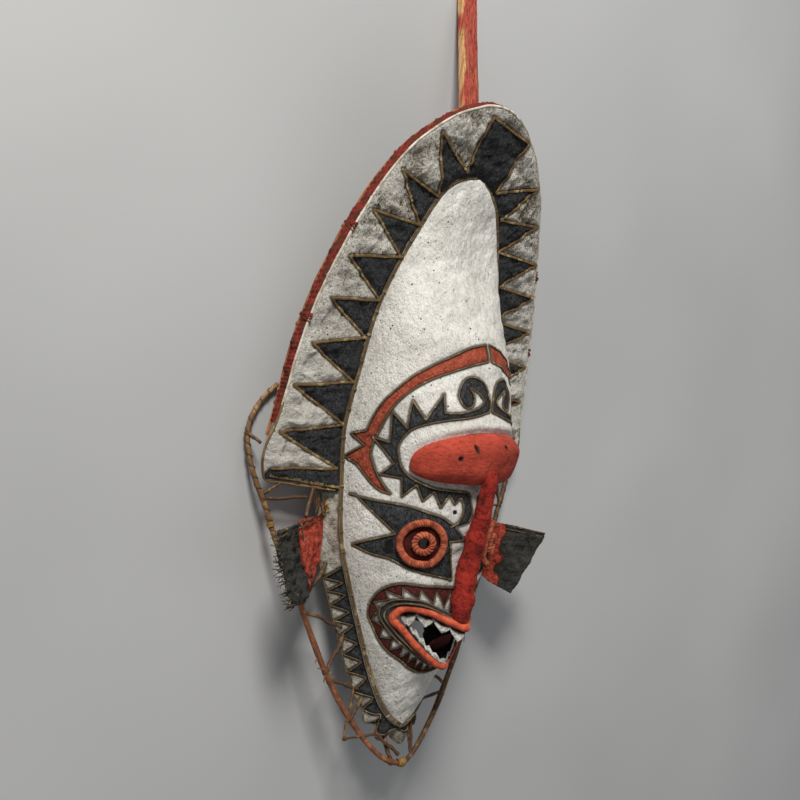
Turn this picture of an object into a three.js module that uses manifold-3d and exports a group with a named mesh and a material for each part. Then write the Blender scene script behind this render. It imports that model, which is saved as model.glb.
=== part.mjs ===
// A barkcloth spirit mask of the eharo type. Millimetres, +Z up.
// The mask is drawn upright: x to the wearer's left, y up toward the crown, z out of the face.
// The finished group is then leaned back, so that it lies on its hoop's shoulders and its pole's end.
import * as THREE from 'three';
import Module from 'manifold-3d';
import { mergeVertices } from 'three/addons/utils/BufferGeometryUtils.js';

const wasm = await Module();
wasm.setup();

// Driving dimensions
const CLOTH = 3;                 // thickness of the sewn cloth
const STRIP = { width: 4, thick: 1.6 };
const CANE = 2.4;                // radius of the canes round the face
const RIM = 2.6;                 // radius of the canes of the crest's rim
const HOOP = 4;                  // radius of the big hoop
const STRUT = 2.5;
const LIP = 4.5;
const GAP = 0.4;                 // clearance between touching pieces
const POLE = { width: 34, thick: 14, foot: 445, top: 990, x: 16, z: 149 };
const APEX = 643, CHIN = -203;   // heights of the face's upper and lower points
const LEAN = 12.08;              // degrees that the lying mask leans back
const EYE = { x: 75, y: 80, ring: 34.2, tube: 4.6, inner: 14.4, innerTube: 4.8, hole: 5.5 };
const MOUTH_CUT = 9;             // how far the opening in the cloth stays inside the mouth band

// Smooth line through [height, value] pairs that are listed from the top down
function through(pairs) {
  const k = pairs.map((p) => p[0]), v = pairs.map((p) => p[1]);
  const chord = (i) => (v[i + 1] - v[i]) / (k[i + 1] - k[i]);
  const slope = k.map((_, i) => {
    if (i === 0) return chord(0);
    if (i === k.length - 1) return chord(i - 1);
    const a = chord(i - 1), b = chord(i);
    return a * b > 0 ? (2 * a * b) / (a + b) : 0;
  });
  const falling = k[1] < k[0];
  return (key) => {
    let i = 0;
    while (i < k.length - 2 && (falling ? key < k[i + 1] : key > k[i + 1])) i++;
    const h = k[i + 1] - k[i], t = Math.min(1, Math.max(0, (key - k[i]) / h));
    const a = (1 + 2 * t) * (1 - t) ** 2, b = t * (1 - t) ** 2;
    const c = t * t * (3 - 2 * t), d = t * t * (t - 1);
    return a * v[i] + b * h * slope[i] + c * v[i + 1] + d * h * slope[i + 1];
  };
}

// The face: half width, depth of its outline and depth of its middle line, by height
const halfWidth = through([[643, 0], [640, 16], [630, 36], [616, 53], [594, 67], [551, 87], [508, 106],
  [447, 121], [402, 128], [357, 131], [318, 134], [266, 137], [225, 134], [165, 131], [120, 131],
  [76, 126], [12, 108], [-52, 87], [-118, 64], [-166, 41], [-190, 22], [-199, 10], [-203, 0]]);
const edgeZ = through([[643, 190], [594, 166], [551, 147], [508, 128], [447, 98], [402, 82], [357, 66],
  [318, 52], [266, 35], [225, 26], [165, 20], [120, 18], [12, 14], [-118, 10], [-203, 8]]);
const ridgeZ = through([[643, 192], [620, 186], [594, 178], [570, 171], [545, 165], [520, 162],
  [500, 164], [480, 172], [460, 180], [440, 186], [400, 197], [350, 207], [300, 211], [265, 211],
  [225, 199], [185, 182], [150, 172], [116, 166], [80, 156], [52, 146], [12, 135], [-33, 124],
  [-60, 110], [-85, 92], [-107, 74], [-140, 50], [-170, 30], [-190, 16], [-203, 9]]);
// The crest's rim: half width and depth by height
const rimX = through([[738, 0], [733, 33], [722, 57], [705, 87], [680, 116], [650, 145], [610, 170],
  [560, 197], [500, 222], [440, 241], [370, 256], [300, 265], [260, 273], [240, 279], [222, 280],
  [200, 274], [185, 265]]);
const rimZ = through([[738, 260], [673, 213], [618, 176], [560, 145], [501, 117], [442, 92],
  [379, 69], [317, 50], [250, 28], [222, 15], [185, 0]]);
// The old mask is a little twisted: how far the head slopes down to the wearer's left, by height
const slope = through([[738, -0.158], [620, -0.086], [500, 0], [380, 0.031], [200, 0.05], [165, 0.045],
  [80, 0], [-300, 0]]);
// Which height on the face outline lies opposite which height on the rim
const PAIRS = [[643, 738], [636, 721], [618, 690], [594, 650], [551, 592], [508, 535], [447, 465],
  [402, 410], [357, 358], [318, 314], [266, 262], [225, 228], [165, 185]];
const LAST = PAIRS.length - 1;
const innerY = through(PAIRS.map((p, i) => [i, p[0]]));
const outerY = through(PAIRS.map((p, i) => [i, p[1]]));
const stationOfInner = through(PAIRS.map((p, i) => [p[0], i]));
const stationOfOuter = through(PAIRS.map((p, i) => [p[1], i]));

const V = (x, y, z) => new THREE.Vector3(x, y, z);
const range = (n) => [...Array(n).keys()];

function faceZ(x, y) {
  const a = Math.max(halfWidth(y), 0.01), z = edgeZ(y);
  return z + (ridgeZ(y) - z) * Math.sqrt(Math.max(0, 1 - (x / a) ** 2));
}
// A point of the face's outer skin, moved out by lift along the skin's own direction
function onFace(x, y, lift = 0) {
  const e = 1.5;
  const gx = (faceZ(x + e, y) - faceZ(x - e, y)) / (2 * e);
  const gy = (faceZ(x, y + e) - faceZ(x, y - e)) / (2 * e);
  return V(x, y, faceZ(x, y)).addScaledVector(V(-gx, -gy, 1).normalize(), lift);
}
function rimPoint(s) {
  const y = outerY(Math.abs(s));
  return V(Math.sign(s) * rimX(y), y, rimZ(y));
}
function outlinePoint(s) {
  const y = innerY(Math.abs(s));
  return V(Math.sign(s) * halfWidth(y), y, edgeZ(y));
}
// A point of the crest: station s along it, t from the face outline to the rim, lifted off the cloth
function onCrest(s, t, lift = 0) {
  const at = (s2, t2) => outlinePoint(s2).lerp(rimPoint(s2), t2);
  const e = 0.05, p = at(s, t);
  if (!lift) return p;
  const along = at(Math.min(s + e, LAST), t).sub(at(Math.max(s - e, -LAST), t));
  const across = rimPoint(s).sub(outlinePoint(s));
  const n = along.cross(across).normalize();
  return p.addScaledVector(n.z < 0 ? n.negate() : n, lift);
}
const span = (s) => rimPoint(s).distanceTo(outlinePoint(s));

// Closed solid from two facing grids of points
function closedSheet(front, back) {
  const rows = front.length, cols = front[0].length, n = rows * cols;
  const position = [...front.flat(), ...back.flat()].flatMap((p) => [p.x, p.y, p.z]);
  const index = [];
  const quad = (a, b, c, d) => index.push(a, b, c, a, c, d);
  const f = (i, j) => i * cols + j, g = (i, j) => n + f(i, j);
  for (let i = 0; i < rows - 1; i++)
    for (let j = 0; j < cols - 1; j++) {
      quad(f(i, j), f(i, j + 1), f(i + 1, j + 1), f(i + 1, j));
      quad(g(i, j), g(i + 1, j), g(i + 1, j + 1), g(i, j + 1));
    }
  for (let i = 0; i < rows - 1; i++) {
    quad(f(i, 0), f(i + 1, 0), g(i + 1, 0), g(i, 0));
    quad(f(i, cols - 1), g(i, cols - 1), g(i + 1, cols - 1), f(i + 1, cols - 1));
  }
  for (let j = 0; j < cols - 1; j++) {
    quad(f(0, j), g(0, j), g(0, j + 1), f(0, j + 1));
    quad(f(rows - 1, j), f(rows - 1, j + 1), g(rows - 1, j + 1), g(rows - 1, j));
  }
  return facingOut(position, index);
}

// Geometry whose triangles all face outward
function facingOut(position, index) {
  let volume = 0;
  const p = (i) => V(position[3 * i], position[3 * i + 1], position[3 * i + 2]);
  for (let i = 0; i < index.length; i += 3)
    volume += p(index[i]).dot(p(index[i + 1]).cross(p(index[i + 2])));
  if (volume < 0)
    for (let i = 0; i < index.length; i += 3)
      [index[i + 1], index[i + 2]] = [index[i + 2], index[i + 1]];
  const geometry = new THREE.BufferGeometry();
  geometry.setAttribute('position', new THREE.Float32BufferAttribute(position, 3));
  geometry.setIndex(index);
  geometry.computeVertexNormals();
  return geometry;
}

// Round bar along a path with a radius for each ring, closed by flat ends
function loft(path, radii, sides) {
  const frames = path.computeFrenetFrames(radii.length - 1, false), position = [], index = [];
  radii.forEach((r, i) => {
    const c = path.getPointAt(i / (radii.length - 1));
    for (let j = 0; j < sides; j++) {
      const a = (2 * Math.PI * j) / sides;
      const p = c.clone().addScaledVector(frames.normals[i], r * Math.cos(a));
      p.addScaledVector(frames.binormals[i], r * Math.sin(a));
      position.push(p.x, p.y, p.z);
    }
  });
  const last = radii.length - 1;
  for (let i = 0; i < last; i++)
    for (let j = 0; j < sides; j++) {
      const a = i * sides + j, b = i * sides + ((j + 1) % sides);
      index.push(a, b, b + sides, a, b + sides, a + sides);
    }
  for (let j = 1; j < sides - 1; j++) {
    index.push(0, j + 1, j);
    index.push(last * sides, last * sides + j, last * sides + j + 1);
  }
  return facingOut(position, index);
}

const line = (points, closed = false) => new THREE.CatmullRomCurve3(points, closed, 'centripetal');
// Round cane through the points
function cane(points, radius, steps, sides = 8) {
  const round = new THREE.Shape(range(sides).map((i) => new THREE.Vector2(
    radius * Math.cos((2 * Math.PI * i) / sides), radius * Math.sin((2 * Math.PI * i) / sides))));
  return new THREE.ExtrudeGeometry(round, { steps, extrudePath: line(points), bevelEnabled: false });
}
// Round cane that runs round and meets itself
const ring = (points, radius, steps, sides = 8) =>
  new THREE.TubeGeometry(line(points, true), steps, radius, sides, true);
// Straight cane between two points, stopped short at each end
function stick(a, b, radius = STRUT, shortA = 0, shortB = 0, sides = 8) {
  const d = b.clone().sub(a).normalize();
  return cane([a.clone().addScaledVector(d, shortA), b.clone().addScaledVector(d, -shortB)],
    radius, 1, sides);
}
const mirrorPoint = (p) => V(-p.x, p.y, p.z);

function solid(geometry) {
  const g = geometry.index ? geometry.clone() : geometry.clone();
  for (const name of ['normal', 'uv']) g.deleteAttribute(name);
  const m = mergeVertices(g, 1e-3);
  return new wasm.Manifold(new wasm.Mesh({
    numProp: 3,
    vertProperties: new Float32Array(m.attributes.position.array),
    triVerts: new Uint32Array(m.index.array),
  }));
}
function fromSolid(body) {
  const mesh = body.getMesh();
  return facingOut([...mesh.vertProperties], [...mesh.triVerts]);
}

const leaned = (p) => V(p.x, p.y + slope(p.y) * p.x, p.z);
const mask = new THREE.Group();
// Names a piece and puts it in the mask; the head's own pieces share its twist
function add(name, geometry, colour, roughness = 0.85, twisted = true) {
  if (twisted) {
    const a = geometry.attributes.position;
    for (let i = 0; i < a.count; i++) {
      const p = leaned(V(a.getX(i), a.getY(i), a.getZ(i)));
      a.setXYZ(i, p.x, p.y, p.z);
    }
    geometry.computeVertexNormals();
  }
  const mesh = new THREE.Mesh(geometry, new THREE.MeshStandardMaterial({
    color: colour, roughness, metalness: 0 }));
  mesh.name = name;
  mask.add(mesh);
  return mesh;
}
const COLOUR = { cloth: 0xdedad0, black: 0x2d2e32, red: 0xb04434, maroon: 0x6e2320, strip: 0xa58c69,
  rimCane: 0xc9bda2, hoop: 0x8a6440, pole: 0xbe4b41, teeth: 0xe1e1de, sideRed: 0x96322a };

// Face cloth: one domed shell from the crest's top to the chin
const heights = [642.5, 639, 632, 618, 596, 568, 535, 500, 460, 415, 365, 315, 270, 232, 200, 165, 130,
  95, 60, 25, -8, -38, -62, -85, -107, -128, -148, -166, -182, -193, -202];
const across = range(17).map((j) => (Math.PI / 2) * (j / 8 - 1));
function shellRow(y, inset) {
  const a = Math.max(halfWidth(y), 2), e = edgeZ(y), b = Math.max(ridgeZ(y) - e, 1.2);
  const ai = a * (1 - inset / Math.max(a, 2.2 * CLOTH)), bi = b * (1 - inset / Math.max(b, 2.2 * CLOTH));
  const yi = y > APEX - 40 ? y - inset * ((y - APEX + 40) / 40)
    : y < CHIN + 30 ? y + inset * ((CHIN + 30 - y) / 30) : y;
  const lower = inset && b < 8 ? -CLOTH * (1 - b / 8) : 0;
  return across.map((q) => V(ai * Math.sin(q), yi, e + lower + bi * Math.cos(q)));
}
const shell = closedSheet(heights.map((y) => shellRow(y, 0)), heights.map((y) => shellRow(y, CLOTH)));

// Mouth: outer edge of the band round it, and the lip cord, both from the middle to the right corner
const bandHalf = [[0, -31, 138], [30, -20, 131], [52, -8, 120], [70, -3, 103], [84, -4, 85],
  [90, -14, 68], [88, -27, 62], [80, -44, 64], [66, -64, 70], [46, -82, 76], [22, -98, 78],
  [0, -106, 79]].map((p) => V(...p));
const lipHalf = [[0, -43, 163], [14, -39, 156], [32, -31, 141], [47, -24, 123], [62, -18, 104],
  [75, -20, 88], [82, -33, 77], [71, -46, 83], [56, -65, 90], [39, -83, 95], [20, -98, 99],
  [0, -108, 101]].map((p) => V(...p));
// Both halves as one loop, starting at the upper middle
const loopOf = (half) => [...half.map(mirrorPoint), ...half.slice(1, -1).reverse()];
const mouthLoop = loopOf(bandHalf);
const middle = V(0, -52, 0);
const mouthCut = new THREE.Shape(mouthLoop.map((p) => {
  const d = V(p.x, p.y, 0).sub(middle), k = 1 - MOUTH_CUT / d.length();
  return new THREE.Vector2(d.x * k, middle.y + d.y * k);
}));
const mouthTool = new THREE.ExtrudeGeometry(mouthCut, { depth: 240, bevelEnabled: false });
mouthTool.translate(0, 0, 25);
let faceBody = solid(shell).subtract(solid(mouthTool));
for (const side of [-1, 1]) {
  const centre = onFace(side * EYE.x, EYE.y), out = onFace(side * EYE.x, EYE.y, 10).sub(centre);
  const bore = new THREE.CylinderGeometry(EYE.hole, EYE.hole, 40, 12);
  bore.applyQuaternion(new THREE.Quaternion().setFromUnitVectors(V(0, 1, 0), out.normalize()));
  bore.translate(centre.x, centre.y, centre.z);
  faceBody = faceBody.subtract(solid(bore));
}
add('face_cloth', fromSolid(faceBody), COLOUR.cloth);

// Band round the mouth, sloping from the face out to the lip cord
const lipLine = line(loopOf(lipHalf), true), bandLine = line(mouthLoop, true);
const lipDots = lipLine.getPoints(200);
const bandRows = range(41).map((i) => {
  const u = (i / 40) * 0.996 + 0.002, lip = lipLine.getPoint(u), out = bandLine.getPoint(u);
  const skin = onFace(out.x, out.y), n = onFace(out.x, out.y, 1).sub(skin);
  const proud = (out.z - skin.z) * n.z, lifted = proud > 3.2 ? out.clone() : skin.addScaledVector(n, 3.2);
  // the inner edge stops where it comes near the lip cord
  const clear = (k) => Math.min(...lipDots.map((q) => q.distanceTo(lip.clone().lerp(lifted, k))));
  let k = 0.2;
  while (k < 0.95 && clear(k) < LIP + 2.2) k += 0.02;
  const edge = lip.clone().lerp(lifted, k);
  return [lifted, lifted.clone().lerp(edge, 0.5).add(V(0, 0, 0.8)), edge];
});
const bandBack = bandRows.map((row, i) => row.map((p, j) => {
  const a = bandRows[Math.max(i - 1, 0)][j], b = bandRows[Math.min(i + 1, 40)][j];
  const n = b.clone().sub(a).cross(row[2].clone().sub(row[0])).normalize();
  return p.clone().addScaledVector(n.z > 0 ? n.negate() : n, 1.2);
}));
add('mouth_band', closedSheet(bandRows, bandBack), COLOUR.maroon);
add('lip_cord', ring(loopOf(lipHalf), LIP, 48, 6), COLOUR.red, 0.8);

// Teeth: saw-edged strips inside the lip; depth 1.6
function teeth(points, count, base, tip, back) {
  const path = line(points), n = count * 2;
  const rows = range(n + 1).map((i) => {
    const p = path.getPointAt(i / n), reach = i % 2 ? tip : base;
    return [p, p.clone().add(V(0, reach, 0))];
  });
  return closedSheet(rows, rows.map((row) => row.map((p) => p.clone().add(V(0, 0, back)))));
}
const upperLip = lipHalf.slice(0, 7), lowerLip = lipHalf.slice(6);
const inside = (p, dy, dz) => V(p.x * 0.93, p.y + dy, p.z + dz);
const upperTeethLine = [...upperLip.slice(0, 6).reverse().map((p) => inside(mirrorPoint(p), -6, -3)),
  ...upperLip.slice(1, 6).map((p) => inside(p, -6, -3))];
const lowerTeethLine = [...lowerLip.slice(1).map((p) => inside(mirrorPoint(p), 6.5, -2)),
  ...lowerLip.slice(1, -1).reverse().map((p) => inside(p, 6.5, -2))];
add('upper_teeth', teeth(upperTeethLine, 18, -3, -11, -1.8), COLOUR.teeth);
add('lower_teeth', teeth(lowerTeethLine, 16, 3, 9, -1.8), COLOUR.teeth);

// Tongue: a flat flap that rises from behind the lower lip
const tongueRows = [[-96, 68, 17], [-88, 78, 18], [-79, 92, 17], [-72, 107, 14], [-69, 118, 8],
  [-68, 123, 3]].map(([y, z, w]) => [V(-w, y, z), V(0, y - 1, z), V(w, y, z)]);
add('tongue', closedSheet(tongueRows, tongueRows.map((row) => row.map((p) => p.clone().add(
  V(0, -1.8, -1.8))))), COLOUR.maroon);

// Padded brow bulb, a long oval cushion that follows the forehead
const BULB = { x: -1, y: 204, long: 106, high: 40, thick: 27, round: 2.6 };
const soften = (v) => Math.sign(v) * Math.abs(v) ** (2 / BULB.round);
const bulbGrid = (front) => range(15).map((i) => {
  const q = (85 / 180) * Math.PI * (i / 7 - 1);
  return range(9).map((j) => {
    const w = (85 / 180) * Math.PI * (j / 4 - 1);
    const u = soften(Math.sin(q)), v = soften(Math.cos(q)) * soften(Math.sin(w));
    const rest = 1 - Math.abs(u) ** BULB.round - Math.abs(v) ** BULB.round;
    const full = Math.max(0, rest) ** 0.45;
    return onFace(BULB.x + BULB.long * u, BULB.y + BULB.high * v, front ? 4.3 + BULB.thick * full : 2.1);
  });
});
add('brow_bulb', closedSheet(bulbGrid(true), bulbGrid(false)), COLOUR.red, 0.75);

// Nose: a lumpy padded tube from under the bulb to the upper lip
add('nose', loft(line([V(0, 162, 208), V(0, 148, 203), V(0, 116, 191), V(0, 84, 179), V(0, 52, 167),
  V(0, 19, 156), V(0, -8, 150), V(0, -27, 157)]),
[9, 12.5, 13, 13.5, 14, 15.5, 16, 15.5, 16, 16.5, 16, 12, 5], 12), COLOUR.red, 0.75);

// Eyes: wrapped outer ring, cloth disc with a hole, wrapped inner ring
function eyeCircle(side, radius, lift, steps) {
  const c = onFace(side * EYE.x, EYE.y), n = onFace(side * EYE.x, EYE.y, 1).sub(c);
  const u = V(0, 1, 0).cross(n).normalize(), w = n.clone().cross(u);
  return range(steps).map((i) => {
    const a = (2 * Math.PI * i) / steps;
    const p = c.clone().addScaledVector(u, radius * Math.cos(a)).addScaledVector(w, radius * Math.sin(a));
    return onFace(p.x, p.y, lift);
  });
}
for (const [side, name] of [[-1, 'right'], [1, 'left']]) {
  add(name + '_eye_ring', ring(eyeCircle(side, EYE.ring, EYE.tube + 0.9, 16), EYE.tube, 24, 6),
    COLOUR.red);
  add(name + '_eye_inner_ring', ring(eyeCircle(side, EYE.inner, EYE.innerTube + 3.4, 12),
    EYE.innerTube, 16, 6), COLOUR.red);
  const disc = (lift) => range(2).map((k) => eyeCircle(side, k ? 28.6 : 8, lift, 24));
  const [lowIn, lowOut] = disc(0.9), [highIn, highOut] = disc(2.5);
  const turn = (list) => [...list, list[0]];
  const body = closedSheet([turn(highIn), turn(highOut)], [turn(lowIn), turn(lowOut)]);
  // the grid meets itself after one turn, so its two end faces are dropped
  const kept = [], idx = body.index.array, cols = 25, n = 2 * cols;
  for (let i = 0; i < idx.length; i += 3) {
    const t = [idx[i], idx[i + 1], idx[i + 2]], col = t.map((q) => (q % n) % cols);
    if (col.every((q) => q === 0) || col.every((q) => q === cols - 1)) continue;
    kept.push(...t.map((q) => ((q % n) % cols === cols - 1 ? q - (cols - 1) : q)));
  }
  add(name + '_eye_disc', facingOut([...body.attributes.position.array], kept), COLOUR.maroon);
}

// Canes round the face, side by side
function outlineLoop(off, dz) {
  const ys = [643, 640, 633, 620, 600, 570, 535, 500, 460, 420, 380, 340, 300, 260, 220, 180, 140, 100,
    60, 20, -20, -60, -100, -135, -165, -186, -198];
  const half = ys.map((y) => V(halfWidth(y), y, edgeZ(y)));
  const loop = [...half, V(0, CHIN, edgeZ(CHIN)), ...half.slice(1).reverse().map(mirrorPoint)];
  return loop.map((p, i) => {
    const a = loop[(i + loop.length - 1) % loop.length], b = loop[(i + 1) % loop.length];
    const t = b.clone().sub(a).setZ(0).normalize();
    return p.clone().add(V(-t.y * off, t.x * off, dz));
  });
}
add('face_inner_cane', ring(outlineLoop(CANE + 1.2, 0.6), CANE, 68, 6), COLOUR.strip);
add('face_outer_cane', ring(outlineLoop(3 * CANE + 2.1, 0.6), CANE, 68, 6), COLOUR.strip);

// Crest cloth: the horseshoe between the face canes and the rim
const crestStations = range(45).map((i) => (i / 22 - 1) * (LAST - 0.12));
const crestGrid = (lift) => crestStations.map((s) => {
  const t0 = 14 / span(s), t1 = 1 - 4.8 / span(s);
  return range(4).map((j) => onCrest(s, t0 + ((t1 - t0) * j) / 3, lift));
});
add('crest_cloth', closedSheet(crestGrid(CLOTH / 2), crestGrid(-CLOTH / 2)), COLOUR.cloth);

// Rim cane: up one side, over the crown and down the other, with both lower edges
const rimStations = [11.8, 11.4, 11, 10.5, 10, 9, 8, 7, 6, 5, 4, 3.5, 3, 2.5, 2, 1.5, 1, 0.5];
const rimHalf = [V(147, 168, 18), V(200, 176, 10), V(245, 183, 3), V(260, 185, 0), V(268, 190, 1),
  ...rimStations.map((s) => rimPoint(s))];
add('rim_front_cane', cane([...rimHalf, rimPoint(0), ...[...rimHalf].reverse().map(mirrorPoint)],
  RIM, 84, 6), COLOUR.rimCane, 0.7);

// Side band behind the rim and the cane along its back edge
const back = V(0, 0.42, -0.9).normalize();
const bandDepth = through([[735, 38], [400, 36], [330, 31], [290, 20], [262, 12], [240, 6.5]]);
const bandStations = range(49).map((i) => (i / 24 - 1) * 9.9);
const sideGrid = (out) => bandStations.map((s) => {
  const p = rimPoint(s), t = rimPoint(Math.min(s + 0.1, LAST)).sub(rimPoint(Math.max(s - 0.1, -LAST)));
  const n = V(-t.y, t.x, 0).normalize(), sign = n.dot(V(p.x, p.y - 400, 0)) < 0 ? -1 : 1;
  p.addScaledVector(n, sign * out);
  const d = bandDepth(p.y);
  return [RIM + 1.7, d - RIM - 2].map((k) => p.clone().addScaledVector(back, k));
});
add('side_band', closedSheet(sideGrid(1.2), sideGrid(-1.2)), COLOUR.sideRed);
const backHalf = [10.4, 10, 9.5, 9, 8, 7, 6, 5, 4, 3.5, 3, 2.5, 2, 1.5, 1, 0.5].map((s) => {
  const p = rimPoint(s);
  return p.addScaledVector(back, bandDepth(p.y));
});
add('rim_back_cane', cane([...backHalf, rimPoint(0).addScaledVector(back, bandDepth(735)),
  ...[...backHalf].reverse().map(mirrorPoint)], RIM, 68, 6), COLOUR.rimCane, 0.7);

// Split-cane strips sewn zigzag over each half of the crest: [place, height], r on the rim, f on the face
const zigzag = ['r721', 'f637', 'r672', 'f603', 'r623', 'f558', 'r563', 'f505', 'r503', 'f447', 'r442',
  'f393', 'r380', 'f327', 'r320', 'f268', 'r240', 'f203', 'r191'].map((mark) => {
  const y = Number(mark.slice(1)), onRim = mark[0] === 'r';
  const s = onRim ? stationOfOuter(y) : stationOfInner(y);
  return { s, t: onRim ? 1 - 9 / span(s) : 19 / span(s) };
});
function flatStrip(place, marks, steps, low, high, half) {
  const path = [];
  marks.slice(1).forEach((b, i) => {
    const a = marks[i];
    for (let k = 0; k < steps; k++)
      path.push({ s: a.s + ((b.s - a.s) * k) / steps, t: a.t + ((b.t - a.t) * k) / steps });
  });
  path.push(marks[marks.length - 1]);
  const mid = path.map((q) => place(q.s, q.t, low)), top = path.map((q) => place(q.s, q.t, high));
  const sideways = mid.map((p, i) => {
    const d1 = p.clone().sub(mid[Math.max(i - 1, 0)]).normalize();
    const d2 = mid[Math.min(i + 1, mid.length - 1)].clone().sub(p).normalize();
    const n = top[i].clone().sub(p).normalize();
    const s1 = (d1.length() ? d1 : d2).clone().cross(n).normalize();
    const s2 = (d2.length() ? d2 : d1).clone().cross(n).normalize();
    const m = s1.clone().add(s2).normalize();
    return m.multiplyScalar(half / Math.max(m.dot(s1), 0.28));
  });
  const rows = (list) => list.map((p, i) => [p.clone().add(sideways[i]), p.clone().sub(sideways[i])]);
  return closedSheet(rows(top), rows(mid));
}
for (const [side, name] of [[-1, 'right'], [1, 'left']]) {
  const place = (s, t, lift) => onCrest(side * s, t, lift);
  add(name + '_crest_strip', flatStrip(place, zigzag, 3, CLOTH / 2 + 1.1,
    CLOTH / 2 + 1.1 + STRIP.thick, STRIP.width / 2), COLOUR.strip);
}

// Jaw side band: cloth turned back from the face canes round cheeks and chin
const jawYs = [156, 140, 120, 95, 70, 45, 20, -5, -30, -55, -80, -105, -130, -150, -168, -184, -196];
function jawRow(off, out, z) {
  const half = jawYs.map((y) => V(halfWidth(y), y, edgeZ(y)));
  const chin = V(0, CHIN, edgeZ(CHIN));
  const row = [...half, chin, ...[...half].reverse().map(mirrorPoint)];
  return row.map((p, i) => {
    const a = row[Math.max(i - 1, 0)], b = row[Math.min(i + 1, row.length - 1)];
    const t = b.clone().sub(a).setZ(0).normalize();
    return V(p.x - t.y * (off + out), p.y + t.x * (off + out), z === 'edge' ? p.z - CANE - GAP - 0.4 : z);
  });
}
const jaw = (out) => {
  const front = jawRow(3, out, 'edge'), mid = jawRow(9, out, -6), rear = jawRow(14, out, -20);
  return front.map((p, i) => [p, mid[i], rear[i]]);
};
add('jaw_side_band', closedSheet(jaw(1.2), jaw(-1.2)), COLOUR.black);

// Ears: stiff flaps that stand out sideways and a little forward from the jaw band
const earOutline = [[-3, 127], [45, 120], [90, 112], [166, 97], [160, 74], [149, 42], [136, 12],
  [118, -8], [88, 3], [55, 31], [24, 60], [-1, 92]];
for (const [side, name] of [[-1, 'right'], [1, 'left']]) {
  const shape = new THREE.Shape(earOutline.map(([x, y]) => new THREE.Vector2(side * x, y)));
  const ear = add(name + '_ear', new THREE.ExtrudeGeometry(shape, { depth: CLOTH, bevelEnabled: false }),
    COLOUR.black, 0.85, false);
  ear.rotation.y = (-side * 29.4 * Math.PI) / 180;
  ear.position.set(side * 150, 0, -11);
}

// Big hoop: one bent cane from wing to wing, hanging below the chin
const hoopHalf = [[248, 318, 6], [262, 303, 0], [279, 279, -6], [290, 250, -9], [290, 225, -10],
  [283, 196, -10], [271, 164, -10], [261, 145, -10], [243, 99, -10], [217, 45, -10], [191, -8, -10],
  [167, -62, -10], [140, -116, -10], [101, -180, -8], [52, -238, -3], [24, -260, 2]].map((p) => V(...p));
const hoopPath = [...hoopHalf.map(mirrorPoint), V(2, -266, 5), ...[...hoopHalf].reverse()];
add('hoop', cane(hoopPath, HOOP, 62, 8), COLOUR.hoop, 0.7, false);

// Inner ribs that hold the pole behind the face cloth
const ribZ = POLE.z - POLE.thick / 2 - GAP - STRUT;
for (const [name, y] of [['upper_rib', 590], ['lower_rib', 475]]) {
  const x = halfWidth(y) - 9, z = edgeZ(y) - 9, mid = 0.35 * z + 0.65 * ribZ;
  add(name, cane([V(-x, y, z), V(-x * 0.65, y, mid), V(POLE.x - 34, y, ribZ), V(POLE.x, y, ribZ),
    V(POLE.x + 30, y, ribZ), V(x * 0.78, y, mid), V(x, y, z)], STRUT, 14, 6), COLOUR.strip, 0.85, false);
}
const pole = add('pole', new THREE.BoxGeometry(POLE.width, POLE.top - POLE.foot, POLE.thick),
  COLOUR.pole, 0.8, false);
pole.position.set(POLE.x, (POLE.top + POLE.foot) / 2, POLE.z);

// Struts between the hoop and the mask
const hoopDots = line(hoopPath).getSpacedPoints(62);
// The hoop's centre line at a height on one side; 1 is the wearer's left
function onHoop(side, y) {
  for (let i = 1; i < hoopDots.length; i++) {
    const a = hoopDots[i - 1], b = hoopDots[i];
    if (side * (a.x + b.x) > 0 && (a.y - y) * (b.y - y) <= 0 && a.y !== b.y)
      return a.clone().lerp(b, (y - a.y) / (b.y - a.y));
  }
  return V(0, -266, 5);
}
// Just outside the jaw band's rear edge at a height
function onJaw(side, y) {
  const p = (h) => V(halfWidth(h), h, 0), t = p(y - 2).sub(p(y + 2)).normalize();
  return V(side * (halfWidth(y) - t.y * 13), y + t.x * 13, -16);
}
const struts = [];
const strut = (name, a, b, shortA = 0, shortB = 0, radius = STRUT) =>
  struts.push([name, stick(a, b, radius, shortA, shortB)]);
for (const [side, name] of [[-1, 'right'], [1, 'left']]) {
  const at = (x, y, z) => V(side * x, y, z);
  strut(name + '_wing_link', onHoop(side, 243), leaned(at(280, 238, 14)), 7, 8.5);
  strut(name + '_wing_stay', onHoop(side, 152), leaned(at(240, 181, 3)), 6, 4.5);
  strut(name + '_ear_bar', onHoop(side, 147), at(190, 150, 2), 6, 3.5);
  strut(name + '_ear_post', leaned(at(184, 174, 12)), at(206, 119, 22), 5.5, 5);
  strut(name + '_cheek_stay', onJaw(side, 56), onHoop(side, -12), 5.5, 7);
  strut(name + '_jaw_stay', onHoop(side, -22), onJaw(side, -46), 7.5, 5);
  strut(name + '_jaw_cord', onJaw(side, -54), onHoop(side, -116), 6, 7.5);
}
strut('right_lower_stay', onHoop(-1, -127), onJaw(-1, -142), 8, 5);
strut('right_chin_stay', onJaw(-1, -151), onHoop(-1, -190), 5, 6.5);
strut('left_lower_stay', onHoop(1, -156), onJaw(1, -120), 6, 5);
strut('left_chin_stay', onJaw(1, -172), onHoop(1, -166), 5, 9);
strut('chin_post_right', onJaw(-1, -194), onHoop(-1, -262), 5, 7);
strut('chin_post_left', onJaw(1, -186), onHoop(1, -257), 5, 7);
for (const [name, geometry] of struts) add(name, geometry, COLOUR.hoop, 0.75, false);

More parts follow.
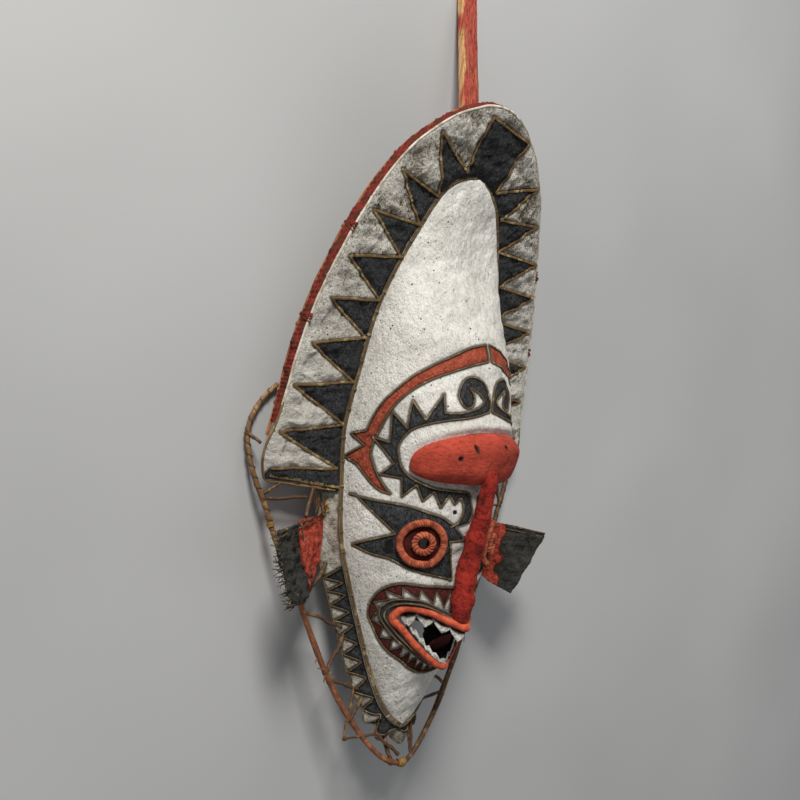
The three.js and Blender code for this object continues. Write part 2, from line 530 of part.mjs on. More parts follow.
// Lay the mask on its back and stand its box's bottom centre on the origin
mask.rotation.x = (-LEAN * Math.PI) / 180;
const lying = new THREE.Group();
lying.add(mask);
lying.updateMatrixWorld(true);
const box = new THREE.Box3().setFromObject(lying, true);
lying.position.set(0, -(box.min.y + box.max.y) / 2, -box.min.z);

export default lying;
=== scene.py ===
# A painted barkcloth spirit mask on a cane frame, lying on its back in soft studio light.
import math
import bpy
import numpy as np
from mathutils import Matrix, Vector


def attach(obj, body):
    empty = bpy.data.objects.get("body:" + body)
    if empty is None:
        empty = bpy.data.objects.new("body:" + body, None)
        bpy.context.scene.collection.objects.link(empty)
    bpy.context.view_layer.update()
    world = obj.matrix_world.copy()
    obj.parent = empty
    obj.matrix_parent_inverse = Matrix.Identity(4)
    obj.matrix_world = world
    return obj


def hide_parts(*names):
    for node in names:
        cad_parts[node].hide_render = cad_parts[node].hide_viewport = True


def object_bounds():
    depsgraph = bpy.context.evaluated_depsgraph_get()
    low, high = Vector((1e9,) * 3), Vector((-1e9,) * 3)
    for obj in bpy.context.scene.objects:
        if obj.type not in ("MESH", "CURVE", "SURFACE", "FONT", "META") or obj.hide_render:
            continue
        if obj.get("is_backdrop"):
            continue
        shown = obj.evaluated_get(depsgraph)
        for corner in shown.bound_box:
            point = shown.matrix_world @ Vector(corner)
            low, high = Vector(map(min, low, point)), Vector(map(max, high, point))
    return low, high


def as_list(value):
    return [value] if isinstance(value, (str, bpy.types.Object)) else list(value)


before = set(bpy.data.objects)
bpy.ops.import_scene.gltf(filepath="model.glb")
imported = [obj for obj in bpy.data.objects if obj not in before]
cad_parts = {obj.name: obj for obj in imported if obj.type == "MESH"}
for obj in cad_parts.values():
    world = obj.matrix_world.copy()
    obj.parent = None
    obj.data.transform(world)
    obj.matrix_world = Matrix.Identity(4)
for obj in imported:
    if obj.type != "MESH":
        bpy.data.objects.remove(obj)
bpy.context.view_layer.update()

# The mask is worked upright in millimetres: x to the wearer's left, y up to the crown, z out of the face.
# toRow lays it on its back in metres, as the frame has it.
laying = {"lean": 12.08, "slide": -368.877, "raise": 68.333}


def turn(points):
    x, y, z = np.asarray(points, float).reshape(-1, 3).T
    c, s = math.cos(math.radians(laying["lean"])), math.sin(math.radians(laying["lean"]))
    return np.stack([x, c * y + s * z, c * z - s * y], 1)


def toRow(points):
    return (turn(points) + (0, laying["slide"], laying["raise"])) / 1000


# The mask's own measures, as in the solids. through gives a smooth line through pairs, with no overshoot.
def through(pairs):
    pairs = sorted(pairs)
    k, v = (np.array(c, float) for c in zip(*pairs))
    h, c = np.diff(k), np.diff(v) / np.diff(k)
    m = np.concatenate([c[:1], np.zeros(len(k) - 2), c[-1:]])
    same = c[:-1] * c[1:] > 0
    m[1:-1][same] = (2 * c[:-1] * c[1:] / np.where(same, c[:-1] + c[1:], 1))[same]

    def value(q):
        q = np.clip(np.asarray(q, float), k[0], k[-1])
        i = np.clip(np.searchsorted(k, q, side="right") - 1, 0, len(k) - 2)
        t = (q - k[i]) / h[i]
        return ((1 + 2 * t) * (1 - t) ** 2 * v[i] + t * (1 - t) ** 2 * h[i] * m[i]
                + t * t * (3 - 2 * t) * v[i + 1] + t * t * (t - 1) * h[i] * m[i + 1])
    return value


halfWidth = through([(643, 0), (640, 16), (630, 36), (616, 53), (594, 67), (551, 87), (508, 106), (447, 121),
    (402, 128), (357, 131), (318, 134), (266, 137), (225, 134), (165, 131), (120, 131), (76, 126), (12, 108),
    (-52, 87), (-118, 64), (-166, 41), (-190, 22), (-199, 10), (-203, 0)])
edgeZ = through([(643, 190), (594, 166), (551, 147), (508, 128), (447, 98), (402, 82), (357, 66), (318, 52),
    (266, 35), (225, 26), (165, 20), (120, 18), (12, 14), (-118, 10), (-203, 8)])
ridgeZ = through([(643, 192), (620, 186), (594, 178), (570, 171), (545, 165), (520, 162), (500, 164),
    (480, 172), (460, 180), (440, 186), (400, 197), (350, 207), (300, 211), (265, 211), (225, 199), (185, 182),
    (150, 172), (116, 166), (80, 156), (52, 146), (12, 135), (-33, 124), (-60, 110), (-85, 92), (-107, 74),
    (-140, 50), (-170, 30), (-190, 16), (-203, 9)])
rimX = through([(738, 0), (733, 33), (722, 57), (705, 87), (680, 116), (650, 145), (610, 170), (560, 197),
    (500, 222), (440, 241), (370, 256), (300, 265), (260, 273), (240, 279), (222, 280), (200, 274), (185, 265)])
rimZ = through([(738, 260), (673, 213), (618, 176), (560, 145), (501, 117), (442, 92), (379, 69), (317, 50),
    (250, 28), (222, 15), (185, 0)])
slope = through([(738, -0.158), (620, -0.086), (500, 0), (380, 0.031), (200, 0.05), (165, 0.045), (80, 0),
    (-300, 0)])
# how high the crest's inner and outer edge are at each step from the crown down
pairs = [(643, 738), (636, 721), (618, 690), (594, 650), (551, 592), (508, 535), (447, 465), (402, 410),
    (357, 358), (318, 314), (266, 262), (225, 228), (165, 185)]
last = len(pairs) - 1
innerY = through([(i, p[0]) for i, p in enumerate(pairs)])
outerY = through([(i, p[1]) for i, p in enumerate(pairs)])


def unit(v):
    return v / np.maximum(np.linalg.norm(v, axis=-1, keepdims=True), 1e-9)


def xyz(x, y, z):
    return np.stack(np.broadcast_arrays(x, y, z), -1).astype(float)


def twisted(p):
    p = np.array(p, float)
    p[..., 1] += slope(p[..., 1]) * p[..., 0]
    return p


def swell(x, y, size, seed):  # gentle waves about so many millimetres long, between -1 and 1
    rng, total = np.random.default_rng(seed), 0
    for _ in range(7):
        a, f, o = rng.uniform(0, 6.28), 6.28 / size * rng.uniform(0.6, 1.5), rng.uniform(0, 6.28)
        total = total + np.sin(f * (x * math.cos(a) + y * math.sin(a)) + o)
    return total / 2.7


bulb = {"x": 3.5, "y": 207, "long": 102, "high": 38, "thick": 27, "round": 2.6, "margin": 9}
cloth = {"sag": 3.2, "pucker": 0.9, "crease": 0.35, "browRoll": 4, "thick": 2.4, "quilt": 1.6}


def sag(x, y):  # how far the stretched cloth swells or sinks, in millimetres
    k = np.clip(1 - (np.abs(x) / np.maximum(halfWidth(y), 1)) ** 6, 0, 1)
    k2, margin = bulb["round"], bulb["margin"]
    r = (np.abs((x - bulb["x"]) / (bulb["long"] + margin)) ** k2
        + np.abs((y - bulb["y"]) / (bulb["high"] + margin)) ** k2) ** (1 / k2)
    roll = cloth["browRoll"] * np.exp(-(((r - 1.0) / 0.11) ** 2))
    plain = 1 - 0.6 * np.exp(-(((r - 1) / 0.5) ** 2))
    lumps = cloth["sag"] * swell(x, y, 115, 3) + cloth["pucker"] * swell(x, y, 32, 5)
    lumps = lumps + cloth["crease"] * swell(x, y, 12, 6)
    return k * (plain * lumps + roll)


def faceZ(x, y):
    a = np.maximum(halfWidth(y), 0.01)
    return edgeZ(y) + (ridgeZ(y) - edgeZ(y)) * np.sqrt(np.maximum(0, 1 - (x / a) ** 2))


def faceNormal(x, y):
    e = 1.5
    gx = (faceZ(x + e, y) - faceZ(x - e, y)) / (2 * e)
    gy = (faceZ(x, y + e) - faceZ(x, y - e)) / (2 * e)
    return unit(xyz(-gx, -gy, 1))


def onFace(x, y, lift=0):
    x, y = np.asarray(x, float), np.asarray(y, float)
    return twisted(xyz(x, y, faceZ(x, y)) + faceNormal(x, y) * np.asarray(lift + sag(x, y))[..., None])


def rimPoint(s):
    y = outerY(np.abs(s))
    return xyz(np.sign(s) * rimX(y), y, rimZ(y))


def outlinePoint(s):
    y = innerY(np.abs(s))
    return xyz(np.sign(s) * halfWidth(y), y, edgeZ(y))


def span(s):
    return np.linalg.norm(rimPoint(s) - outlinePoint(s), axis=-1)


def onCrest(s, t, lift=0, bare=False):
    s, t = np.broadcast_arrays(np.asarray(s, float), np.asarray(t, float))
    at = lambda q: outlinePoint(q) + (rimPoint(q) - outlinePoint(q)) * t[..., None]
    p = at(s)
    if bare:
        return p
    ahead, behind = at(np.minimum(s + 0.05, last)), at(np.maximum(s - 0.05, -last))
    n = unit(np.cross(ahead - behind, rimPoint(s) - outlinePoint(s)))
    n = np.where(n[..., 2:] < 0, -n, n)
    hold = np.clip(np.minimum(t, 1 - t) * 6, 0, 1)
    x, y = p[..., 0], p[..., 1]
    folds = np.clip(1 - 2.4 * np.abs(swell(x + 0.3 * y, y - 0.3 * x, 52, 14)), 0, 1) ** 1.6  # sharp creases
    folds = folds + 0.6 * np.clip(1 - 2.6 * np.abs(swell(x, y, 27, 15)), 0, 1) ** 1.6
    wave = 2.6 * swell(x, y, 62, 11) + 1.5 * swell(x, y, 26, 12) + 0.6 * swell(x, y, 11, 13)
    wave = hold * (wave + 2.6 * folds - 1.2)
    onCrest.wave = wave
    return twisted(p + n * (lift + wave)[..., None])


# Making and finishing pieces
def even(line, step):
    line = np.asarray(line, float)
    d = np.concatenate([[0], np.cumsum(np.linalg.norm(np.diff(line, axis=0), axis=1))])
    k = np.linspace(0, d[-1], max(2, int(round(d[-1] / step)) + 1))
    return np.stack([np.interp(k, d, line[:, i]) for i in range(line.shape[1])], 1)


def curve(points, step, closed=False):  # an even line that bends smoothly through the points
    p = np.asarray(points, float)
    p = np.vstack([p[-1:], p, p[:2]]) if closed else np.vstack([2 * p[0] - p[1], p, 2 * p[-1] - p[-2]])
    out = []
    for a, b, c, d in zip(p, p[1:], p[2:], p[3:]):
        t1 = max(np.linalg.norm(b - a), 1e-6) ** 0.5
        t2 = t1 + max(np.linalg.norm(c - b), 1e-6) ** 0.5
        t3 = t2 + max(np.linalg.norm(d - c), 1e-6) ** 0.5
        t = np.linspace(t1, t2, 14, endpoint=False)[:, None]
        ab, bc, cd = a + (b - a) * t / t1, b + (c - b) * (t - t1) / (t2 - t1), c + (d - c) * (t - t2) / (t3 - t2)
        abc, bcd = ab + (bc - ab) * t / t2, bc + (cd - bc) * (t - t1) / (t3 - t1)
        out.append(abc + (bcd - abc) * (t - t1) / (t2 - t1))
    return even(np.vstack(out + [p[-2:-1]]), step)


def frames(path, up=None, closed=False):
    t = unit(np.gradient(path, axis=0))
    if closed:
        t[0] = t[-1] = unit(path[1] - path[-2])
    if up is not None:
        side = unit(np.cross(t, up))
        return t, side, unit(np.cross(side, t))
    n = np.cross(t[0], (0, 0, 1.0) if abs(t[0][2]) < 0.9 else (1.0, 0, 0))
    side = [unit(n)]
    for i in range(1, len(t)):
        n = side[-1] - t[i] * np.dot(side[-1], t[i])
        side.append(unit(n))
    side = np.array(side)
    if closed:  # spread the turn that is left over round the ring
        b = np.cross(t[0], side[0])
        left = math.atan2(np.dot(side[-1], b), np.dot(side[-1], side[0]))
        a = -left * np.linspace(0, 1, len(t))[:, None]
        side = side * np.cos(a) + np.cross(t, side) * np.sin(a)
    return t, side, unit(np.cross(side, t))


seam = 4e-6  # corners nearer than this, in metres, are one


def select(piece):
    bpy.ops.object.select_all(action="DESELECT")
    piece.select_set(True)
    bpy.context.view_layer.objects.active = piece


def sheet(name, across, along, place, size=(1, 1), weld=False, angle=None):
    # a grid laid out by place, which gets how far across and along each corner is; size is in metres
    bpy.ops.object.select_all(action="DESELECT")
    bpy.ops.mesh.primitive_grid_add(x_subdivisions=across, y_subdivisions=along, size=2)
    piece = bpy.context.object
    piece.name = piece.data.name = name
    co = np.empty(len(piece.data.vertices) * 3)
    piece.data.vertices.foreach_get("co", co)
    u, v = (co.reshape(-1, 3)[:, :2].T + 1) / 2
    piece.data.vertices.foreach_set("co", toRow(place(u, v)).ravel())
    uv = np.empty(len(piece.data.loops) * 2)
    layer = piece.data.uv_layers[0].data
    layer.foreach_get("uv", uv)
    layer.foreach_set("uv", (uv.reshape(-1, 2) * size).ravel())
    bpy.ops.object.mode_set(mode="EDIT")
    if weld:
        bpy.ops.mesh.select_all(action="SELECT")
        bpy.ops.mesh.remove_doubles(threshold=seam)
        bpy.ops.mesh.fill_holes(sides=0)
        bpy.ops.mesh.normals_make_consistent(inside=False)
    bpy.ops.object.mode_set(mode="OBJECT")
    if angle:
        bpy.ops.object.shade_smooth_by_angle(angle=math.radians(angle))
    else:
        bpy.ops.object.shade_smooth()
    return piece


def editAll(piece):
    select(piece)
    bpy.ops.object.mode_set(mode="EDIT")
    bpy.ops.mesh.select_all(action="SELECT")


def welded(piece):
    editAll(piece)
    bpy.ops.mesh.remove_doubles(threshold=seam)
    bpy.ops.mesh.normals_make_consistent(inside=False)
    bpy.ops.object.mode_set(mode="OBJECT")


def faceOut(piece, upward=False):  # turns a cloth round whose faces look into the mask
    n, c = (np.array([getattr(f, key) for f in piece.data.polygons]) for key in ("normal", "center"))
    if (n[:, 2] if upward else n[:, 0] * c[:, 0]).mean() < 0:
        editAll(piece)
        bpy.ops.mesh.flip_normals()
        bpy.ops.object.mode_set(mode="OBJECT")


def uneven(amount, seed, size=60):
    return lambda d, q: 1 + amount * swell(d + size * 0.15 * np.sin(q), size * 0.15 * np.cos(q), size, seed)


def rod(name, path, half, sides=10, closed=False, up=None, shape=None, square=1):
    # a round or flat bar along the path; half is its half width and half height, or one radius a ring
    path = np.asarray(path, float)
    _, side, top = frames(path, up, closed)
    n = len(path)
    length = np.linalg.norm(np.diff(path, axis=0), axis=1).sum()
    half = np.asarray(half, float)
    wide, high = (half if half.shape == (2,) else (half, half))
    wide, high = np.broadcast_to(wide, n), np.broadcast_to(high, n)

    def place(u, v):
        i, a = np.rint(v * (n - 1)).astype(int), 2 * np.pi * u
        k = shape(v * length, a) if shape else 1.0
        c, s = np.cos(a), np.sin(a)
        c, s = np.sign(c) * np.abs(c) ** square, np.sign(s) * np.abs(s) ** square
        return path[i] + side[i] * (wide[i] * k * c)[:, None] + top[i] * (high[i] * k * s)[:, None]
    around = 2 * math.pi * float(max(wide.max(), high.max())) / 1000
    return sheet(name, sides, n - 1, place, (around, length / 1000), weld=True, angle=50)


def joined(name, parts):
    select(parts[0])
    for p in parts:
        p.select_set(True)
    if len(parts) > 1:
        bpy.ops.object.join()
    parts[0].name = parts[0].data.name = name
    return parts[0]


def stamped(name, model, places):
    # copies of one small model, each turned and moved to its place, joined as one piece
    model.data.uv_layers.remove(model.data.uv_layers[0])
    copies = []
    for place in places:
        copies.append(model.copy())
        copies[-1].data = model.data.copy()
        copies[-1].data.transform(Matrix(place))
        bpy.context.scene.collection.objects.link(copies[-1])
    bpy.data.objects.remove(model)
    piece = joined(name, copies)
    bpy.ops.object.shade_smooth()
    return piece


def seat(point, along, side, top, scale=(1, 1, 1)):
    # the place of a stamped copy: its x across, y along and z out of the surface, all as laid
    m = np.eye(4)
    for i, (axis, k) in enumerate(zip((side, along, top), scale)):
        m[:3, i] = turn(axis)[0] * k
    m[:3, 3] = toRow(point)[0]
    return m


def lashing(point, along, scale):
    top = unit(np.cross(along, (0.1, 0.2, 1)))
    return seat(point, along, unit(np.cross(along, top)), top, scale)


def small(name, path, radius, sides=5, closed=False):
    # a small model in its own millimetres, for stamping
    piece = rod(name, path, radius, sides, closed)
    co = np.array([v.co for v in piece.data.vertices]) * 1000
    c, s = math.cos(math.radians(laying["lean"])), math.sin(math.radians(laying["lean"]))
    x, y, z = co.T
    y, z = y - laying["slide"], z - laying["raise"]
    piece.data.vertices.foreach_set("co", (np.stack([x, c * y - s * z, s * y + c * z], 1) / 1000).ravel())
    return piece


def modified(piece, kind, **settings):
    select(piece)
    mod = piece.modifiers.new(kind.title(), kind)
    for k, v in settings.items():
        setattr(mod, k, v)
    bpy.ops.object.modifier_apply(modifier=mod.name)
    return piece


def done(piece, slot, materials, *nodes):
    for m in materials if isinstance(materials, (list, tuple)) else [materials]:
        piece.data.materials.append(m)
    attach(piece, "root")
    if nodes:
        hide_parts(*nodes)
    return piece


def inside(points, outline):  # signed distance from an outline, positive inside
    p, a = np.asarray(points, float), np.asarray(outline, float)
    b = np.roll(a, -1, 0)
    best, odd = np.full(len(p), 1e9), np.zeros(len(p), bool)
    for (ax, ay), (bx, by) in zip(a, b):
        dx, dy = bx - ax, by - ay
        t = np.clip(((p[:, 0] - ax) * dx + (p[:, 1] - ay) * dy) / max(dx * dx + dy * dy, 1e-9), 0, 1)
        best = np.minimum(best, np.hypot(p[:, 0] - ax - t * dx, p[:, 1] - ay - t * dy))
        if ay != by:
            odd ^= ((ay > p[:, 1]) != (by > p[:, 1])) & (p[:, 0] < dx * (p[:, 1] - ay) / dy + ax)
    return np.where(odd, best, -best)


def zone(piece, name, values):
    layer = piece.data.attributes.new(name, "FLOAT", "POINT")
    layer.data.foreach_set("value", np.clip(values, -20, 20).astype(np.float32))


def mirrored(points):
    return [(-x, *rest) for x, *rest in points]


# Materials. Each pattern's scale is written as 1000 over its size in millimetres.
making = {}
startingWith = {"Mix": {"data_type": "RGBA"}}  # a mix is one of colours


def linear(code):
    c = [int(code[i:i + 2], 16) / 255 for i in (0, 2, 4)]
    return [v / 12.92 if v <= 0.04045 else ((v + 0.055) / 1.055) ** 2.4 for v in c] + [1]


def newMaterial(name):
    made = bpy.data.materials.new(name)
    made.use_nodes = True
    made.node_tree.nodes.clear()
    making["tree"] = made.node_tree
    return made


def add(kind, *values, out=None, **settings):
    # a node of the material being made: values go to the inputs in use, in order, then the named ones;
    # a socket is linked and a hex colour turned linear. It gives back one output, the first if none is named.
    kind, _, operation = kind.partition(" ")
    node, named = making["tree"].nodes.new("ShaderNode" + kind), []
    if operation:
        node.operation = operation
    for key, value in {**startingWith.get(kind, {}), **settings}.items():
        if hasattr(node, key):
            setattr(node, key, value)
        else:
            named.append((node.inputs[key.replace("_", " ")], value))
    for socket, value in [*zip([s for s in node.inputs if s.enabled], values), *named]:
        if isinstance(value, bpy.types.NodeSocket):
            making["tree"].links.new(value, socket)
        elif value is not None:
            socket.default_value = linear(value) if isinstance(value, str) else value
    given = [s for s in node.outputs if s.enabled and out in (None, s.name)]
    return given[0] if given else node


def surface(colour, roughness, height=None, depth=0.5, strength=1.0, **fixed):
    normal = height and add("Bump", Strength=strength, Distance=depth / 1000, Height=height)
    add("OutputMaterial", add("BsdfPrincipled", Base_Color=colour, Roughness=roughness, Normal=normal, **fixed))


# Beaten bark cloth, sized and painted by hand with clay, soot and earth red: dull, with fibres that show
# through the paint, soil, painted shade in the hollows of the folds and beside the sewn strips,
# and small dark specks where the paint has flaked.
def paintedBarkcloth(name, base, zones, soilAndShadeAmount=0.35, specks=0.5, rough=0.9, grain=(1, 1, 1), relief=0.9,
        flecks="2E2A26", crownDarkening=0, granular=0):
    made, place = newMaterial(name), add("TexCoord", out="Object")
    along = add("Mapping", place, Scale=grain)
    broad, lump = add("TexNoise", place, 1000 / 48, 4, 0.55), add("TexNoise", along, 1000 / 10, 6, 0.68)
    fibre, fine = add("TexNoise", along, 1000 / 3.2, 4, 0.72), add("TexNoise", place, 1000 / 1.6, 2, 0.6)
    flaked = add("MapRange", add("TexNoise", place, 1000 / 26, 3, 0.55), 0.46, 0.58)
    pits = add("Math MULTIPLY", add("MapRange", add("TexVoronoi", place, 1000 / 10.5), 0.16, 0.09), flaked)
    ragged = add("Math SUBTRACT", add("TexNoise", place, 1000 / 5, 3, 0.55), 0.5)
    edge = add("Math MULTIPLY", ragged, 2.0)
    coarse = add("Math MULTIPLY", lump, 0.65 - 0.42 * granular)
    mottle = add("Math ADD", coarse, add("Math MULTIPLY", fibre, 0.35 + 0.42 * granular))
    soilAndShade = add("Math MULTIPLY", add("MapRange", mottle, 0.53, 0.38), soilAndShadeAmount)
    soilAndShade = add("Math ADD", soilAndShade, add("Math MULTIPLY", add("MapRange", broad, 0.56, 0.38), soilAndShadeAmount * 0.5))
    if crownDarkening:  # painted shade in the hollows of the folds of the cloth over the head, added to its soil, and all the darkening stronger toward the crown
        low = add("Attribute", attribute_name="hollow", out="Fac")
        rag = add("Math MULTIPLY", add("Math SUBTRACT", mottle, 0.5), 16)
        soilAndShade = add("Math ADD", soilAndShade, add("MapRange", add("Math ADD", low, rag), 0.2, -3.2, 0, 0.5))
        towardCrown = add("MapRange", add("SeparateXYZ", place, out="Y"), -0.08, 0.22, 0.22, crownDarkening)
        soilAndShade = add("Math MULTIPLY", soilAndShade, towardCrown)
    worn = add("Math MULTIPLY", add("MapRange", mottle, 0.43, 0.33), min(1, soilAndShadeAmount * 0.9))
    colour = add("Mix", worn, add("Mix", soilAndShade, *base), flecks)
    for attribute, first, second in zones:
        d = add("Attribute", attribute_name=attribute, out="Fac")
        paint = add("Mix", add("MapRange", mottle, 0.40, 0.60), first, second)
        bared = "83857F" if first < "40" else "D98F70"  # threads that show through black, or through red
        paint = add("Mix", add("MapRange", fibre, 0.61, 0.74, 0, 0.3), paint, bared)
        away = add("Math ABSOLUTE", d)
        # painted shade with some soil in the groove beside each painted edge, where the sewn strips lie
        near = add("MapRange", add("Math ADD", away, edge), 5.5, 1.6)
        near = add("Math MULTIPLY", near, towardCrown) if crownDarkening else near
        colour = add("Mix", add("Math MULTIPLY", near, min(0.85, soilAndShadeAmount * 1.15)), colour, "4A4136")
        colour = add("Mix", add("MapRange", add("Math ADD", d, edge), -0.35, 0.35), colour, paint)
        # a thin dark painted shadow line right beside the sewn strips
        line = add("Math MULTIPLY", add("MapRange", away, 3.9, 2.0), 0.68)
        colour = add("Mix", line, colour, "14110E")
    colour = add("Mix", add("Math MULTIPLY", pits, specks), colour, flecks)
    threads = add("Math ADD", add("Math MULTIPLY", fibre, 0.5), add("Math MULTIPLY", fine, 0.16))
    height = add("Math ADD", add("Math MULTIPLY", lump, 1.1), threads)
    height = add("Math SUBTRACT", height, add("Math MULTIPLY", pits, 0.3))
    surface(colour, rough, height, relief * 3.0, 1.0, Specular_IOR_Level=0.3)
    return made


black = ("121315", "4C4E50")
red = ("7E3022", "BC5E44")
maroon = ("36120F", "6B2823")
faceCloth = paintedBarkcloth("barkcloth painted white, black and red", ("F4F2EC", "958D7C"),
    [("maroonZone", *maroon), ("redZone", *red), ("blackZone", *black)],
    soilAndShadeAmount=0.42, specks=1.0, grain=(1.6, 0.8, 1), relief=1.7, granular=0.6)
crestCloth = paintedBarkcloth("weathered barkcloth painted white and black", ("F1EDE3", "6E614A"),
    [("blackZone", *black)], soilAndShadeAmount=0.74, specks=1.0, grain=(1.25, 0.95, 1), relief=3.4, crownDarkening=0.9,
    granular=0.85)
jawCloth = paintedBarkcloth("barkcloth turned back round the jaw", ("D6D2C6", "7C7362"),
    [("blackZone", *black)], soilAndShadeAmount=0.8, specks=0.8, relief=2.2)
earCloth = paintedBarkcloth("stiff barkcloth painted black and red", ("45443F", "191816"),
    [("redZone", "8E2C20", "DB6049")], soilAndShadeAmount=0.7, specks=0.3, relief=2.6, flecks="0E0E0F")
bandCloth = paintedBarkcloth("black barkcloth round the lips", ("3C3E40", "151618"), [],
    soilAndShadeAmount=0.7, specks=0.2, flecks="101011")
toothCloth = paintedBarkcloth("white barkcloth teeth", ("DEDDD8", "8D877C"),
    [("rootZone", "161412", "3A3733")], soilAndShadeAmount=0.7, specks=0.5)
maroonCloth = paintedBarkcloth("barkcloth painted dark red", ("4E1714", "220A09"), [],
    soilAndShadeAmount=0.8, specks=0.2, flecks="140605")
# the inner side of the cloth, never painted: brown, dry and fibrous
rawCloth = paintedBarkcloth("bare brown barkcloth", ("8E7456", "57432F"), [], soilAndShadeAmount=0.8, specks=0.3,
    grain=(3, 1, 1))
# cloth drawn tight over stuffing and painted with earth red: brushed along its length, with painted shade in its
# dents
redCloth = paintedBarkcloth("stuffed barkcloth painted earth red", ("BC4A38", "7E2A1E"),
    [("pitZone", "120504", "2A0D08")], soilAndShadeAmount=0.6, specks=0.4, grain=(1, 2.2, 1), relief=0.6, flecks="3A1512")
noseCloth = paintedBarkcloth("stuffed barkcloth painted bright red", ("A52D20", "4E100C"), [],
    soilAndShadeAmount=0.9, specks=0.45, relief=0.9, flecks="3A0F0C")


# Dry cane and twigs: long grain, dull skin with dark soiled grooves, paint or soil left in patches
def cane(name, light, dark, patch, patchShare=0.4, rough=0.62, relief=0.5, grainMm=1.6):
    made, place = newMaterial(name), add("TexCoord", out="Object")
    grain = add("Mapping", add("TexCoord", out="UV"), Scale=(1, 0.06, 1))
    lines = add("TexNoise", grain, 1000 / grainMm, 3, 0.6)
    blot, joint = add("TexNoise", place, 1000 / 14, 4, 0.6), add("TexNoise", place, 1000 / 60, 2, 0.55)
    colour = add("Mix", add("MapRange", lines, 0.34, 0.66), dark, light)
    patches = add("MapRange", blot, 0.62 - 0.25 * patchShare, 0.70 - 0.25 * patchShare)
    colour = add("Mix", add("Math MULTIPLY", patches, 0.85), colour, patch)
    colour = add("Mix", add("Math MULTIPLY", add("MapRange", joint, 0.60, 0.42), 0.35), colour, dark)
    height = add("Math ADD", add("Math MULTIPLY", lines, 0.7), add("Math MULTIPLY", blot, 0.6))
    surface(colour, rough, height, relief, 0.8, Specular_IOR_Level=0.35)
    return made


splitCane = cane("split cane, dry", "967849", "4A3722", "BDA679", 0.24)
outlineCane = cane("split cane round the face", "7E6848", "3E3223", "9C8A68", 0.25)
rimCane = cane("rim cane with worn white paint", "C8BFA9", "8A7B62", "E0DCD0", 0.75)
backCane = cane("bare cane under red paint", "AE6F3C", "74431F", "8E3328", 0.45)
hoopCane = cane("bent cane, tan to brown", "8E6A45", "5A3F28", "A98659", 0.4)
footCane = cane("bent cane, rust brown", "8C5638", "5C3624", "A06A45", 0.4)
darkCane = cane("dark twigs and vine", "6B4C33", "37271A", "8A6C48", 0.3)
lashVine = cane("brown vine lashing", "805A3A", "3F2A1B", "A07C4E", 0.3, grainMm=0.9)
vine = cane("golden vine lashing", "B08A4C", "6E5228", "C7A468", 0.4, grainMm=0.9)
thread = cane("sewing fibre", "8C7654", "4A3B28", "BDB39C", 0.3, grainMm=0.8)
drabFibre = cane("frayed bark fibre", "6E6656", "3D382F", "8E8672", 0.35, rough=0.85, grainMm=0.8)


# Cord wound round and round with cloth strip, painted orange red that has rubbed off the crowns of the turns,
# with painted shade in the grooves between them
def woundCord(name, light, dark, worn):
    made, place = newMaterial(name), add("TexCoord", out="Object")
    lump, fine = add("TexNoise", place, 1000 / 7, 4, 0.6), add("TexNoise", place, 1000 / 1.8, 3, 0.7)
    groove = add("Attribute", attribute_name="groove", out="Fac")
    colour = add("Mix", add("MapRange", lump, 0.40, 0.62), dark, light)
    colour = add("Mix", add("Math MULTIPLY", add("MapRange", fine, 0.58, 0.72), 0.7), colour, worn)
    # painted shade in the grooves between the turns
    colour = add("Mix", add("Math MULTIPLY", groove, 0.75), colour, "4A1710")
    height = add("Math ADD", add("Math MULTIPLY", lump, 0.8), add("Math MULTIPLY", fine, 0.5))
    surface(colour, 0.85, height, 0.9, 0.9, Specular_IOR_Level=0.3)
    return made


eyeCord = woundCord("wound cord painted orange red", "C96B4A", "98472F", "D99A78")
lipCord = woundCord("lip cord painted orange red", "D0603F", "A8432E", "D98F6E")

# Loose red fibre laid slantwise round the rim: shaggy, with bare brown where the paint has gone
redFibre = newMaterial("red painted bark fibre")
slant = add("Mapping", add("TexCoord", out="UV"), Rotation=(0, 0, 0.62), Scale=(1, 0.12, 1))
strand = add("TexNoise", slant, 1000 / 2.2, 3, 0.6)
blot = add("TexNoise", add("TexCoord", out="Object"), 1000 / 16, 5, 0.65)
colour = add("Mix", add("MapRange", strand, 0.36, 0.64), "421210", "96372E")
colour = add("Mix", add("Math MULTIPLY", add("MapRange", blot, 0.47, 0.56), 0.8), colour, "4E2D1C")
surface(colour, 0.9, add("Math ADD", strand, add("Math MULTIPLY", blot, 0.6)), 1.8, 1.0, Specular_IOR_Level=0.25)

# Sawn and shaved softwood lath, brushed with earth red; long grain, bare tan on one edge and where rubbed
lathPaint, place = newMaterial("lath with worn earth red"), add("TexCoord", out="Object")
grain = add("Mapping", place, Scale=(1, 0.045, 1))
lines, wear = add("TexNoise", grain, 1000 / 2.4, 4, 0.6), add("TexNoise", grain, 1000 / 9, 4, 0.6)
bare = add("Attribute", attribute_name="bareEdge", out="Fac")
wood = add("Mix", add("MapRange", lines, 0.35, 0.65), "A87444", "D9B07A")
paint = add("Mix", add("MapRange", lines, 0.35, 0.65), "7A261C", "C25A46")
rubbed = add("Math ADD", bare, add("Math MULTIPLY", add("Math SUBTRACT", wear, 0.5), 7))
colour = add("Mix", add("MapRange", rubbed, 0.2, 1.4), paint, wood)
colour = add("Mix", add("Math MULTIPLY", add("MapRange", wear, 0.57, 0.66), 0.55), colour, "A07A56")
knots = add("TexNoise", add("Mapping", place, Scale=(1, 0.35, 1)), 1000 / 7, 4, 0.7)
knots = add("MapRange", knots, 0.60, 0.68)
colour = add("Mix", add("Math MULTIPLY", knots, 0.75), colour, "4A1D14")
height = add("Math ADD", lines, add("Math MULTIPLY", wear, 0.9))
height = add("Math SUBTRACT", height, add("Math MULTIPLY", knots, 0.6))
surface(colour, 0.72, height, 1.8, 1.0, Specular_IOR_Level=0.35)
print("materials made")

